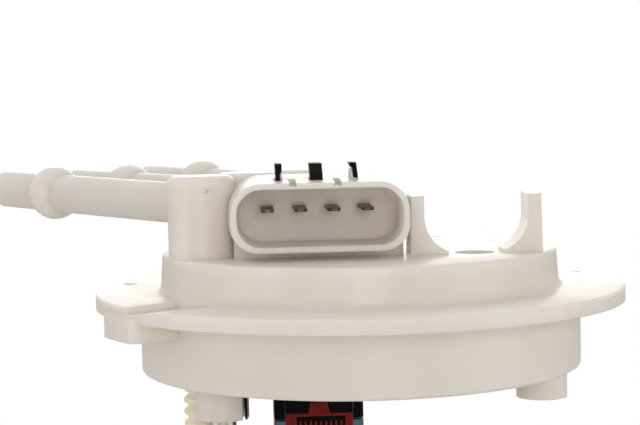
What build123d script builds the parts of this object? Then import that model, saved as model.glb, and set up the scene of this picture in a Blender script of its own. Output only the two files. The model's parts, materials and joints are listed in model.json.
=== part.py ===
"""Fuel pump module: a moulded tank flange, and a reservoir that slides on two sprung guide rods.

The frame: the origin is the centre of the brim's underside, +Z is up and the electrical
connector faces -Y. Sizes are in millimetres and angles in degrees.
"""

import os
from math import cos, radians, sin

from build123d import *

# ---------------------------------------------------------------- driving dimensions
# flange
wall = 2.6  # moulded wall of the flange
brim_radius = 62.0
brim_thickness = 3.3
skirt_radius = 51.7
skirt_depth = 15.1
drum_radius = 46.3
drum_draft = 0.6  # the drum is wider by this at its foot
drum_height = 12.0  # of its top over the brim's underside
lug_start, lug_end = 202.0, 216.0  # directions of the anti-rotation lug's ends
lug_reach = 1.3  # beyond the brim
lug_top, lug_bottom = 1.3, -4.1
ramp_start, ramp_end = 211.0, 224.0
ramp_drop = 1.7

# tube nipples
tube_direction = 130.7
tube_tilt = 1.2  # the nipples rise by this angle
tube_radius = 4.75
tube_bore = 3.1
tube_root_heights = (23.9, 24.2, 25.0)
bead_radius = 6.6
bead_length = 9.2
bead_distances = (58.0, 46.3, 34.2)  # from each turret's axis
tip_radius = 4.6
tip_length = 23.0  # beyond the bead's middle
turret_radius = 7.65
turret_height = 30.6
turret_centres = ((-36.6, -13.1), (-25.8, -1.4), (-14.9, 10.4))

# connector shell
socket_x, socket_front = -10.4, -30.2
socket_width, socket_height, socket_base = 39.1, 15.2, 13.9
socket_depth = 16.2
socket_wall = 1.3
socket_top_corner, socket_bottom_corner = 6.6, 6.0
shell_length = 22.0
shell_draft = 1.1  # the shell is larger by this at its back
pedestal_inset = 11.0  # of the pedestal behind the shell's front
blade_width, blade_thickness = 2.8, 0.64
blade_pitch, leg_pitch = 7.35, 4.4
blade_height = 22.95
blade_offset = -0.4  # of the row of blades from the shell's middle
blade_recess = 3.2
blade_count = 4
header_x = -11.1  # the legs are bent over to the header
key_height = 4.0
key_length = 7.0
key_setback = 6.4

# seat of the pressure sensor
seat_x, seat_y = 24.85, -17.6
ear_gap = 23.4
ear_thickness = 2.9
ear_length = 9.5
ear_height = 25.2
port_radius = 4.5
port_depth = 9.0

# rods, bosses and springs
rod_radius = 3.05
rod_places = ((-32.9, -18.2), (-8.1, 38.7))
stub_place = (42.5, -4.2)
boss_radius = 6.0
boss_bottom = -24.0
rod_bottom = -160.0
rod_seat_clearance = 0.05
rod_running_clearance = 0.06
coil_wire = 0.6
coil_radius = 4.35  # to the middle of the wire
coil_turns = 9
retainer_radius, retainer_thickness = 5.2, 1.2
stop_radius = 4.2
retainer_height = -30.0

# reservoir
reservoir_radius = 46.0
reservoir_flat = 36.0  # distance of the sender's flat from the axis
reservoir_wall = 2.0
reservoir_top = -118.0
reservoir_bottom = -228.0
foot_height = 5.0
lid_thickness = 2.5
lid_lap = 8.0
lid_clearance = 0.2
guide_length = 11.7

# pump
pump_x, pump_y = 8.0, -6.0
can_radius = 19.0
can_wall = 1.0
can_bottom, can_top = -219.0, -137.0
nipple_offset = 8.5
pump_nipple_radius, pump_nipple_bore = 4.0, 2.6
pump_nipple_step, pump_nipple_top = -108.0, -96.0
shaft_radius = 1.6

# hoses and wires
hose_radius = 5.0
barb_radius = 3.1
barb_bore = 1.9
hose_grip = 0.02  # clearance of a hose on its nipple
wire_radius = 0.9

# level sender
pivot_y, pivot_z = 8.0, -165.0
arm_wire = 1.0  # radius
arm_length = 95.0
arm_plane = 47.2
arm_rest = 36.0  # the arm hangs this far below level when the tank is empty
float_radius, float_length = 9.5, 26.0

os.makedirs("parts", exist_ok=True)


# ---------------------------------------------------------------- shared helpers
def corner(sketch, x, y):
    """The sketch's corner nearest to a point."""
    return sketch.vertices().sort_by_distance((x, y, 0))[0]


def polar(radius, angle):
    """A point of the plan at a radius and a direction."""
    return radius * cos(radians(angle)), radius * sin(radians(angle))


def upright(x, y):
    """An upright plane that faces -Y through a point of the plan."""
    return Plane(origin=(x, y, 0), x_dir=(1, 0, 0), z_dir=(0, -1, 0))


def finish(builder, label):
    """Name a finished piece and write its file."""
    builder.part.label = label
    export_step(builder.part, f"parts/{label}.step")


def route(points):
    """A tube's path: straight runs joined by arcs as large as the runs allow."""
    points = [Vector(*point) for point in points]
    radii = []
    for before, at, after in zip(points, points[1:], points[2:]):
        turn = (at - before).get_angle(after - at)
        shorter = min((at - before).length, (after - at).length)
        radii.append(0.45 * shorter / sin(radians(turn / 2)) * cos(radians(turn / 2)))
    return FilletPolyline(*points, radius=radii)


# ---------------------------------------------------------------- flange cover
brim_top = brim_thickness
drum_foot = drum_radius + drum_draft
roof_under = drum_height - wall
web_under = brim_top - wall
drum_inside = drum_radius - wall
skirt_inside = skirt_radius - wall
socket_top = socket_base + socket_height
shell_back = socket_front + shell_length
tube_run = (
    cos(radians(tube_tilt)) * cos(radians(tube_direction)),
    cos(radians(tube_tilt)) * sin(radians(tube_direction)),
    sin(radians(tube_tilt)),
)
tube_side = (-sin(radians(tube_direction)), cos(radians(tube_direction)), 0)
hose_nipple_bottom = -19.0
feed_nipple = (-37.0, -7.7)
return_nipple = (-12.5, 14.0)
vapour_passage = (-22.9, -0.6)
valve_place = (-22.0, 1.4)
valve_radius = 6.6

# blades of the connector, bent down through the roof into the header
leg_y = -10.9
leg_bottom = -17.0
blade_front = socket_front + blade_recess
with BuildPart() as connector_terminals:
    for place in range(blade_count):
        step = place - (blade_count - 1) / 2
        blade_x = socket_x + blade_offset + blade_pitch * step
        leg_x = header_x + leg_pitch * step
        with BuildSketch(Plane.XZ.offset(-leg_y)):
            with BuildLine():
                Polyline(
                    (blade_x - blade_width / 2, blade_height + blade_thickness / 2),
                    (blade_x + blade_width / 2, blade_height + blade_thickness / 2),
                    (blade_x + blade_width / 2, blade_height - 1.2),
                    (leg_x + blade_width / 2, drum_height + 1.0),
                    (leg_x + blade_width / 2, leg_bottom + 1.5),
                    (leg_x + 0.6, leg_bottom),
                    (leg_x - 0.6, leg_bottom),
                    (leg_x - blade_width / 2, leg_bottom + 1.5),
                    (leg_x - blade_width / 2, drum_height + 1.0),
                    (blade_x - blade_width / 2, blade_height - 1.2),
                    close=True,
                )
            make_face()
        extrude(amount=-blade_thickness)
        with BuildSketch(Plane.XY.offset(blade_height - blade_thickness / 2)):
            with BuildLine():
                Polyline(
                    (blade_x - blade_width / 2, leg_y + blade_thickness),
                    (blade_x - blade_width / 2, blade_front + 1.2),
                    (blade_x - 0.7, blade_front),
                    (blade_x + 0.7, blade_front),
                    (blade_x + blade_width / 2, blade_front + 1.2),
                    (blade_x + blade_width / 2, leg_y + blade_thickness),
                    close=True,
                )
            make_face()
        extrude(amount=blade_thickness)


# three upright keys, let into the shell's drafted top
with BuildPart() as index_keys:
    for key_x, key_width in ((-19.5, 1.2), (-10.95, 2.8), (-2.6, 1.4)):
        with BuildSketch(Plane.XY.offset(socket_top)):
            with Locations((key_x, socket_front + key_setback + key_length / 2)):
                Rectangle(key_width, key_length)
        extrude(amount=key_height)


def socket_outline(inset, setback=0.0):
    """The connector shell's outline, seen from its front, drawn in by an inset."""
    with BuildSketch(Plane.XZ.offset(-socket_front - setback)) as outline:
        with Locations((socket_x, socket_base + socket_height / 2)):
            Rectangle(socket_width - 2 * inset, socket_height - 2 * inset)
        fillet(
            outline.vertices().group_by(Axis.Y)[-1],
            socket_top_corner - inset,
        )
        fillet(
            outline.vertices().group_by(Axis.Y)[0],
            socket_bottom_corner - inset * 0.6,
        )
    return outline.sketch


with BuildPart() as flange_moulding:
    # brim, drum and skirt, turned as one cup
    with BuildSketch(Plane.XZ) as section:
        with BuildLine():
            Polyline(
                (0, drum_height),
                (drum_radius, drum_height),
                (drum_foot, brim_top),
                (brim_radius, brim_top),
                (brim_radius, 0),
                (skirt_radius, 0),
                (skirt_radius, -skirt_depth),
                (skirt_inside, -skirt_depth),
                (skirt_inside, web_under),
                (drum_inside, web_under),
                (drum_inside, roof_under),
                (0, roof_under),
                close=True,
            )
        make_face()
        fillet(corner(section, drum_foot, brim_top), 1.4)
        fillet(corner(section, drum_radius, drum_height), 0.5)
        fillet(corner(section, brim_radius, brim_top), 0.6)
        fillet(corner(section, skirt_radius, -skirt_depth), 0.6)
    revolve(axis=Axis.Z)

    # anti-rotation lug under the brim's edge
    with BuildSketch(Plane.XY.offset(lug_bottom)) as lug:
        with BuildLine():
            inner = CenterArc((0, 0), skirt_radius - 0.5, lug_start, lug_end - lug_start)
            outer = CenterArc((0, 0), brim_radius + lug_reach, lug_start, lug_end - lug_start)
            Line(inner @ 0, outer @ 0)
            Line(inner @ 1, outer @ 1)
        make_face()
        fillet(corner(lug, *polar(brim_radius + lug_reach, lug_start)), 1.0)
        fillet(corner(lug, *polar(brim_radius + lug_reach, lug_end)), 2.4)
    extrude(amount=lug_top - lug_bottom)

    # lead-in ramp sunk in the brim's top beside the lug
    ramp_middle = (ramp_start + ramp_end) / 2
    ramp_half = brim_radius * sin(radians((ramp_end - ramp_start) / 2))
    ramp_plane = Plane(
        origin=(*polar(drum_foot + 1.4, ramp_middle), 0),
        x_dir=(*polar(1, ramp_middle + 90), 0),
        z_dir=(*polar(1, ramp_middle), 0),
    )
    with BuildSketch(ramp_plane):
        with BuildLine():
            Polyline(
                (-ramp_half, brim_top - ramp_drop),
                (ramp_half, brim_top),
                (-ramp_half, brim_top + ramp_drop),
                close=True,
            )
        make_face()
    extrude(amount=brim_radius, mode=Mode.SUBTRACT)

    # turrets, joined by webs
    for centre in turret_centres:
        with BuildSketch(Plane.XY.offset(roof_under)):
            with Locations(centre):
                Circle(turret_radius)
        extrude(amount=turret_height - roof_under)
    turret_rims = flange_moulding.edges().filter_by(GeomType.CIRCLE).filter_by_position(
        Axis.Z, turret_height - 0.01, turret_height + 0.01
    )
    fillet(turret_rims, 1.8)
    first, middle, last = (Vector(*centre) for centre in turret_centres)
    with BuildSketch(Plane.XY.offset(roof_under)):
        with BuildLine():
            Polyline(first, middle, last)
        trace(line_width=wall)
    extrude(amount=turret_height - 4.0 - roof_under)

    # tube nipples with their beads, each turned about its own axis
    for centre, root_height, distance in zip(turret_centres, tube_root_heights, bead_distances):
        bead_start, bead_end = distance - bead_length / 2, distance + bead_length / 2
        tip = distance + tip_length
        with BuildSketch(Plane((*centre, root_height), x_dir=tube_run, z_dir=tube_side)):
            with BuildLine():
                Polyline(
                    (bead_end, tip_radius),
                    (tip - 0.8, tip_radius),
                    (tip, tip_radius - 0.6),
                    (tip, 0),
                    (0, 0),
                    (0, tube_radius),
                    (bead_start, tube_radius),
                )
                ThreePointArc(
                    (bead_start, tube_radius), (distance, bead_radius), (bead_end, tip_radius)
                )
            make_face()
        revolve(axis=Axis((*centre, root_height), tube_run))

    # connector shell, drafted towards its front, on its pedestal
    loft([socket_outline(0), socket_outline(-shell_draft, shell_length)], ruled=True)
    with BuildSketch(Plane.XY.offset(roof_under)):
        with Locations((socket_x, (socket_front + pedestal_inset + shell_back) / 2)):
            Rectangle(socket_width - 1.0, shell_back - socket_front - pedestal_inset)
    extrude(amount=socket_base + socket_bottom_corner - roof_under)

    # ears that hold the pressure sensor
    for side in (-1, 1):
        with BuildSketch(Plane.XZ.offset(-(seat_y - ear_length / 2))):
            inner_face = seat_x + side * ear_gap / 2
            outer_face = inner_face + side * ear_thickness
            shelf = inner_face - side * 5.4
            with BuildLine():
                Polyline(
                    (shelf, roof_under),
                    (outer_face + side * 0.4, roof_under),
                    (outer_face, ear_height),
                    (inner_face, ear_height),
                    (inner_face, drum_height + 8.6),
                )
                RadiusArc(
                    (inner_face, drum_height + 8.6),
                    (shelf, drum_height + 0.7),
                    side * 8.4,
                )
                Line((shelf, drum_height + 0.7), (shelf, roof_under))
            make_face()
        extrude(amount=-ear_length)

    # sockets for the guide rods, the stub boss, and the hose nipples under the roof
    for place in (*rod_places, stub_place):
        with BuildSketch(Plane.XY.offset(boss_bottom)):
            with Locations(place):
                Circle(boss_radius)
        extrude(amount=web_under + 0.5 - boss_bottom)
        with BuildSketch(Plane.XY.offset(web_under)):
            with Locations(place):
                Circle(boss_radius)
            Circle(drum_inside + 0.5, mode=Mode.INTERSECT)
        extrude(amount=roof_under + 0.5 - web_under)
    for place in (feed_nipple, return_nipple):
        with BuildSketch(Plane.XY.offset(hose_nipple_bottom)):
            with Locations(place):
                Circle(barb_radius)
        extrude(amount=roof_under + 0.5 - hose_nipple_bottom)
    with BuildSketch(Plane.XY.offset(roof_under - 1.2)):
        with Locations(valve_place):
            Circle(valve_radius - 1.5)
    extrude(amount=1.7)
    with BuildSketch(Plane.XY.offset(drum_height - port_depth)):
        with Locations((seat_x, seat_y - 1.0)):
            Circle(port_radius + 1.8)
    extrude(amount=port_depth - wall + 0.5)

    # what is cored out
    extrude(socket_outline(socket_wall), amount=-socket_depth, mode=Mode.SUBTRACT)
    with BuildSketch(Plane.XY.offset(drum_height + 0.01)):
        with Locations((seat_x, seat_y - 1.0)):
            Circle(port_radius)
    extrude(amount=-port_depth - 1, mode=Mode.SUBTRACT)
    for centre, root_height, distance in zip(turret_centres, tube_root_heights, bead_distances):
        with BuildSketch(Plane(origin=(*centre, root_height), z_dir=tube_run)):
            Circle(tube_bore)
        extrude(amount=distance + tip_length + 1, mode=Mode.SUBTRACT)
    for place, bottom in (
        (feed_nipple, hose_nipple_bottom),
        (return_nipple, hose_nipple_bottom),
        (vapour_passage, roof_under - 2),
    ):
        with BuildSketch(Plane.XY.offset(bottom)):
            with Locations(place):
                Circle(barb_bore)
        extrude(amount=min(tube_root_heights) - bottom, mode=Mode.SUBTRACT)
    with BuildSketch(Plane.XY.offset(roof_under - 1.2)):
        with Locations(valve_place):
            Circle(valve_radius - 2.4)
    extrude(amount=1.2, mode=Mode.SUBTRACT)
    for place in rod_places:
        with BuildSketch(Plane.XY.offset(boss_bottom)):
            with Locations(place):
                Circle(rod_radius + rod_seat_clearance)
        extrude(amount=-boss_bottom - 10.0, mode=Mode.SUBTRACT)
    with BuildSketch(Plane.XY.offset(boss_bottom)):
        with Locations(stub_place):
            Circle(boss_radius - wall)
    extrude(amount=-boss_bottom, mode=Mode.SUBTRACT)
    with BuildSketch(Plane.XY.offset(boss_bottom)):
        with Locations((rod_places[0][0] + 5.1, rod_places[0][1] - boss_radius / 2)):
            Rectangle(1.1, boss_radius)
    extrude(amount=12.0, mode=Mode.SUBTRACT)

    # slots that the terminals and the keys fill, and two grooves beside the keys
    add(connector_terminals.part, mode=Mode.SUBTRACT)
    add(index_keys.part, mode=Mode.SUBTRACT)
    for notch in (-16.3, -6.4):
        with BuildSketch(Plane.XZ.offset(-socket_front)):
            with Locations((notch, socket_top)):
                Rectangle(1.6, 2 * 0.9)
        extrude(amount=-key_length - 3, mode=Mode.SUBTRACT)

# the moulding is filed as three nodes: they meet on the roof, and on an upright face beside
# the turrets
roof_plane = Plane.XY.offset(drum_height)
row = (last - first).normalized()
beside = Vector(row.Y, -row.X, 0)
turret_plane = Plane(origin=middle + beside * (turret_radius + 0.3), z_dir=beside)
with BuildPart() as flange_cover:
    add(flange_moulding.part)
    split(bisect_by=roof_plane, keep=Keep.BOTTOM)
finish(flange_cover, "flange_cover")

with BuildPart() as nipple_block:
    add(flange_moulding.part)
    split(bisect_by=roof_plane, keep=Keep.TOP)
    split(bisect_by=turret_plane, keep=Keep.BOTTOM)
finish(nipple_block, "nipple_block")

with BuildPart() as connector_shell:
    add(flange_moulding.part)
    split(bisect_by=roof_plane, keep=Keep.TOP)
    split(bisect_by=turret_plane, keep=Keep.TOP)
finish(connector_shell, "connector_shell")
finish(connector_terminals, "connector_terminals")
finish(index_keys, "index_keys")

# ---------------------------------------------------------------- under the flange
header_y = -12.0
header_width, header_depth = 20.3, 13.0
header_bottom = -25.0
header_wall = 1.5
channel_depth = 0.6  # of the lock's channel down the header's front
lock_width, lock_thickness = 15.1, 1.2
latch_foot, latch_head = 4.7, 3.6  # widths of the lock's latch
latch_height = 2.5
plug_bottom = -42.0
slip = 0.1  # clearance of a part slid into another
header_front = header_y - header_depth / 2
lock_top = header_bottom + 1.2
lock_bottom = plug_bottom + 2.6
with BuildPart() as header_shroud:
    with BuildSketch(Plane.XY.offset(header_bottom)):
        with Locations((header_x, header_y)):
            RectangleRounded(header_width, header_depth, 1.5)
    extrude(amount=roof_under - header_bottom)
    with BuildSketch(Plane.XY.offset(header_bottom)):
        with Locations((header_x, header_y)):
            RectangleRounded(header_width - 2 * header_wall, header_depth - 2 * header_wall, 0.8)
    extrude(amount=-header_bottom - 8.0, mode=Mode.SUBTRACT)
    with BuildSketch(Plane.XY.offset(header_bottom)):
        with Locations((header_x, header_front)):
            Rectangle(lock_width + 2 * slip, 2 * channel_depth)
    extrude(amount=roof_under - header_bottom, mode=Mode.SUBTRACT)
    add(connector_terminals.part, mode=Mode.SUBTRACT)
    # opening for the lock's shoulders and its latch
    with BuildSketch(Plane.XZ.offset(-header_front)):
        with BuildLine():
            Polyline(
                (header_x - lock_width / 2 - slip, header_bottom),
                (header_x + lock_width / 2 + slip, header_bottom),
                (header_x + lock_width / 2 + slip, lock_top + slip),
                (header_x + latch_foot / 2 + slip, lock_top + slip),
                (header_x + latch_head / 2 + slip, lock_top + latch_height + slip),
                (header_x - latch_head / 2 - slip, lock_top + latch_height + slip),
                (header_x - latch_foot / 2 - slip, lock_top + slip),
                (header_x - lock_width / 2 - slip, lock_top + slip),
                close=True,
            )
        make_face()
    extrude(amount=-header_wall, mode=Mode.SUBTRACT)
finish(header_shroud, "header_shroud")

plug_width = header_width - 2 * header_wall - 2 * slip
plug_depth = header_depth - 2 * header_wall - 2 * slip
lead_places = [(header_x + leg_pitch * (k - 1.5), header_y) for k in range(blade_count)]
with BuildPart() as harness_plug:
    with BuildSketch(Plane.XY.offset(header_bottom - 0.4)):
        with Locations((header_x, header_y)):
            RectangleRounded(plug_width, plug_depth, 0.7)
    extrude(amount=14.5)
    with BuildSketch(Plane.XY.offset(plug_bottom)):
        with Locations((header_x, header_y)):
            RectangleRounded(header_width, header_depth, 1.5)
    extrude(amount=header_bottom - 0.4 - plug_bottom)
    with BuildSketch(Plane.XZ.offset(-header_front)):
        with Locations((header_x, (lock_bottom + header_bottom) / 2)):
            Rectangle(lock_width + 2 * slip, header_bottom - lock_bottom)
    extrude(amount=-2.2, mode=Mode.SUBTRACT)
    for place in range(blade_count):
        with BuildSketch(Plane.XY.offset(header_bottom - 2)):
            with Locations((lead_places[place][0], leg_y + blade_thickness / 2)):
                Rectangle(blade_width + 0.4, blade_thickness + 0.6)
        extrude(amount=20.0, mode=Mode.SUBTRACT)
    with BuildSketch(Plane.XY.offset(plug_bottom)):
        with Locations(lead_places):
            Circle(wire_radius + 0.02)
    extrude(amount=3.0, mode=Mode.SUBTRACT)
finish(harness_plug, "harness_plug")

with BuildPart() as plug_lock:
    with BuildSketch(Plane.XZ.offset(-header_front)):
        with BuildLine():
            Polyline(
                (header_x - lock_width / 2, lock_bottom),
                (header_x + lock_width / 2, lock_bottom),
                (header_x + lock_width / 2, lock_top),
                (header_x + latch_foot / 2, lock_top),
                (header_x + latch_head / 2, lock_top + latch_height),
                (header_x - latch_head / 2, lock_top + latch_height),
                (header_x - latch_foot / 2, lock_top),
                (header_x - lock_width / 2, lock_top),
                close=True,
            )
        make_face()
    extrude(amount=-lock_thickness)
    # finger pocket in the lock's face
    with BuildSketch(Plane.XZ.offset(-header_front)):
        with Locations((header_x + 0.4, lock_top - 0.5 - 4.0)):
            Rectangle(11.3, 8.0)
    extrude(amount=-lock_thickness / 2, mode=Mode.SUBTRACT)
finish(plug_lock, "plug_lock")

# ---------------------------------------------------------------- rods, springs and retainers
lid_top = reservoir_top + lid_thickness
guide_top = lid_top + 2.5
guide_bottom = guide_top - guide_length
with BuildPart() as guide_rods:
    for place in rod_places:
        with BuildSketch(Plane.XY.offset(rod_bottom)):
            with Locations(place):
                Circle(rod_radius)
        extrude(amount=-10.0 - rod_bottom)
    ends = guide_rods.edges().filter_by(GeomType.CIRCLE)
    chamfer(ends, 0.5)
finish(guide_rods, "guide_rods")

with BuildPart() as spring_retainers:
    for place in rod_places:
        with BuildSketch(Plane.XY.offset(retainer_height)):
            with Locations(place):
                Circle(retainer_radius)
                Circle(rod_radius + 0.02, mode=Mode.SUBTRACT)
        extrude(amount=retainer_thickness)
finish(spring_retainers, "spring_retainers")

with BuildPart() as rod_stops:
    for place in rod_places:
        with BuildSketch(Plane.XY.offset(guide_bottom - 0.3 - retainer_thickness)):
            with Locations(place):
                Circle(stop_radius)
                Circle(rod_radius + 0.02, mode=Mode.SUBTRACT)
            with Locations((place[0], place[1] - 4.0)):
                Rectangle(3.4, 4.0, mode=Mode.SUBTRACT)
        extrude(amount=retainer_thickness)
finish(rod_stops, "rod_stops")

spring_low, spring_high = guide_top + 0.1 + coil_wire, retainer_height - 0.1 - coil_wire
spring_pitch = (spring_high - spring_low) / coil_turns
with BuildPart() as guide_springs:
    for place in rod_places:
        with BuildLine():
            helix = Helix(
                pitch=spring_pitch,
                height=spring_high - spring_low,
                radius=coil_radius,
                center=(*place, spring_low),
            )
        with BuildSketch(Plane(origin=helix @ 0, z_dir=helix % 0)):
            RegularPolygon(coil_wire, 8)
        sweep(path=helix, is_frenet=True)
finish(guide_springs, "guide_springs")

# ---------------------------------------------------------------- rollover valve
valve_bottom = -12.5
with BuildPart() as rollover_body:
    with BuildSketch(Plane.XY.offset(valve_bottom)):
        with Locations(valve_place):
            Circle(valve_radius)
    extrude(amount=roof_under - valve_bottom)
    with BuildSketch(Plane.XY.offset(valve_bottom)):
        with Locations(valve_place):
            Circle(valve_radius - 1.4)
    extrude(amount=roof_under - 4.0 - valve_bottom, mode=Mode.SUBTRACT)
    with BuildSketch(Plane.XY.offset(roof_under - 1.3)):
        with Locations(valve_place):
            Circle(valve_radius - 1.4)
    extrude(amount=1.3, mode=Mode.SUBTRACT)
    with BuildSketch(Plane.XY.offset(roof_under - 4.5)):
        with Locations(valve_place):
            Circle(1.3)
    extrude(amount=4.5, mode=Mode.SUBTRACT)
finish(rollover_body, "rollover_body")

with BuildPart() as rollover_cap:
    with BuildSketch(Plane.XY.offset(valve_bottom)):
        with Locations(valve_place):
            Circle(valve_radius - 1.45)
            with PolarLocations(3.3, 4):
                Circle(1.0, mode=Mode.SUBTRACT)
    extrude(amount=1.6)
finish(rollover_cap, "rollover_cap")

with BuildPart() as rollover_float:
    with BuildSketch(Plane.XY.offset(valve_bottom + 3.6)):
        with Locations(valve_place):
            Circle(valve_radius - 2.0)
    extrude(amount=9.0)
    with BuildSketch(Plane.XY.offset(valve_bottom + 12.6)):
        with Locations(valve_place):
            Circle(2.2)
    extrude(amount=2.2, taper=35)
    with BuildSketch(Plane.XY.offset(valve_bottom + 3.6)):
        with Locations(valve_place):
            Circle(3.3)
    extrude(amount=5.0, mode=Mode.SUBTRACT)
finish(rollover_float, "rollover_float")

with BuildPart() as rollover_spring:
    with BuildLine():
        helix = Helix(pitch=1.6, height=6.2, radius=2.4, center=(*valve_place, valve_bottom + 2.0))
    with BuildSketch(Plane(origin=helix @ 0, z_dir=helix % 0)):
        RegularPolygon(0.3, 6)
    sweep(path=helix, is_frenet=True)
finish(rollover_spring, "rollover_spring")

# ---------------------------------------------------------------- reservoir
foot_bottom = reservoir_bottom - foot_height
floor_top = reservoir_bottom + reservoir_wall
return_inlet = (-22.0, 16.0)
valve_seat = (-20.0, -24.0)
outlet = (pump_x + nipple_offset, pump_y)
collar_radius = 18.2


def reservoir_outline(height, offset):
    """The reservoir's outline: a circle with a flat for the level sender."""
    with BuildSketch(Plane.XY.offset(height)) as outline:
        Circle(reservoir_radius + offset)
        with Locations((reservoir_flat + offset + reservoir_radius, 0)):
            Rectangle(2 * reservoir_radius, 3 * reservoir_radius, mode=Mode.SUBTRACT)
    return outline.sketch


with BuildPart() as reservoir_bucket:
    extrude(reservoir_outline(reservoir_bottom, 0), amount=reservoir_top - reservoir_bottom)
    fillet(reservoir_bucket.edges().group_by(Axis.Z)[0], 2.5)
    extrude(
        reservoir_outline(floor_top, -reservoir_wall),
        amount=reservoir_top - floor_top,
        mode=Mode.SUBTRACT,
    )
    # feet that hold the floor off the tank
    with BuildSketch(Plane.XY.offset(foot_bottom)):
        with PolarLocations(36.0, 3, start_angle=40):
            SlotOverall(16.0, 6.0, rotation=90)
    extrude(amount=foot_height)
    # cup that holds the foot of the pump, with gaps for fuel
    with BuildSketch(Plane.XY.offset(floor_top)):
        with Locations((pump_x, pump_y)):
            Circle(can_radius + 3.6)
            Circle(can_radius + 2.1, mode=Mode.SUBTRACT)
            Rectangle(60, 14, mode=Mode.SUBTRACT)
            Rectangle(14, 60, mode=Mode.SUBTRACT)
    extrude(amount=18.0)
    # seat of the fill valve
    with BuildSketch(Plane.XY.offset(reservoir_bottom)):
        with Locations(valve_seat):
            Circle(1.6)
            with PolarLocations(4.6, 6):
                Circle(1.5)
    extrude(amount=reservoir_wall, mode=Mode.SUBTRACT)
    # snap barbs for the lid and stiffening ribs down the wall
    for angle in (60, 120, 180, 240, 300):
        rib_plane = Plane(
            origin=(*polar(reservoir_radius - 0.4, angle), 0),
            x_dir=(*polar(1, angle + 90), 0),
            z_dir=(*polar(1, angle), 0),
        )
        with BuildSketch(rib_plane):
            with Locations((0, (reservoir_bottom + reservoir_top) / 2 - 8.0)):
                Rectangle(2.0, 84.0)
        extrude(amount=1.0)
        with BuildSketch(rib_plane):
            with Locations((0, reservoir_top - 5.0)):
                Rectangle(7.0, 1.8)
        extrude(amount=1.9)
finish(reservoir_bucket, "reservoir_bucket")

with BuildPart() as reservoir_lid:
    extrude(
        reservoir_outline(reservoir_top, lid_clearance + 1.4),
        amount=lid_thickness,
    )
    fillet(reservoir_lid.edges().group_by(Axis.Z)[-1], 1.0)
    extrude(
        reservoir_outline(reservoir_top - lid_lap, lid_clearance + 1.4),
        amount=lid_lap,
    )
    extrude(
        reservoir_outline(reservoir_top - lid_lap, lid_clearance),
        amount=lid_lap,
        mode=Mode.SUBTRACT,
    )
    # guides on the rods, kept clear of the bucket's wall
    with BuildSketch(Plane.XY.offset(guide_bottom)):
        with Locations(rod_places):
            Circle(boss_radius + 0.4)
    extrude(amount=guide_length)
    wall_slot = reservoir_outline(guide_bottom, lid_clearance) - reservoir_outline(
        guide_bottom, -reservoir_wall - lid_clearance
    )
    extrude(wall_slot, amount=reservoir_top - guide_bottom, mode=Mode.SUBTRACT)
    # collar round the pump's top
    with BuildSketch(Plane.XY.offset(can_top + 2.2)):
        with Locations((pump_x, pump_y)):
            Circle(collar_radius + 1.6)
            Circle(collar_radius, mode=Mode.SUBTRACT)
    extrude(amount=reservoir_top - can_top - 2.2)
    # inlet nipple of the return line
    with BuildSketch(Plane.XY.offset(reservoir_top - 12.0)):
        with Locations(return_inlet):
            Circle(barb_radius)
    extrude(amount=30.0)
    # ribs across the top
    with BuildSketch(Plane.XY.offset(lid_top - 0.2)):
        Rectangle(1.4, 80.0)
        with Locations((-21.0, 0)):
            Rectangle(34.0, 1.4)
        with Locations((pump_x, pump_y)):
            Circle(13.0, mode=Mode.SUBTRACT)
    extrude(amount=1.6)
    # what is cored out
    with BuildSketch(Plane.XY.offset(guide_bottom)):
        with Locations(rod_places):
            Circle(rod_radius + rod_running_clearance)
        with Locations(outlet):
            Circle(pump_nipple_radius + 1.6)
        with Locations((pump_x - 8.0, pump_y)):
            Circle(4.6)
    extrude(amount=30.0, mode=Mode.SUBTRACT)
    with BuildSketch(Plane.XY.offset(reservoir_top - 12.0)):
        with Locations(return_inlet):
            Circle(barb_bore)
    extrude(amount=40.0, mode=Mode.SUBTRACT)
    # windows over the snap barbs
    for angle in (60, 120, 180, 240, 300):
        window_plane = Plane(
            origin=(*polar(reservoir_radius - 2.0, angle), 0),
            x_dir=(*polar(1, angle + 90), 0),
            z_dir=(*polar(1, angle), 0),
        )
        with BuildSketch(window_plane):
            with Locations((0, reservoir_top - 5.0)):
                Rectangle(7.6, 2.4)
        extrude(amount=6.0, mode=Mode.SUBTRACT)
finish(reservoir_lid, "reservoir_lid")

with BuildPart() as fill_valve:
    with BuildSketch(upright(*valve_seat)):
        with BuildLine():
            Polyline(
                (0, floor_top + 1.8),
                (2.4, floor_top + 1.8),
                (7.4, floor_top + 0.7),
                (7.4, floor_top),
                (1.5, floor_top),
                (1.5, reservoir_bottom),
                (2.5, reservoir_bottom),
                (1.2, reservoir_bottom - 3.2),
                (0, reservoir_bottom - 3.2),
                close=True,
            )
        make_face()
    revolve(axis=Axis((*valve_seat, 0), (0, 0, 1)))
finish(fill_valve, "fill_valve")

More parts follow.
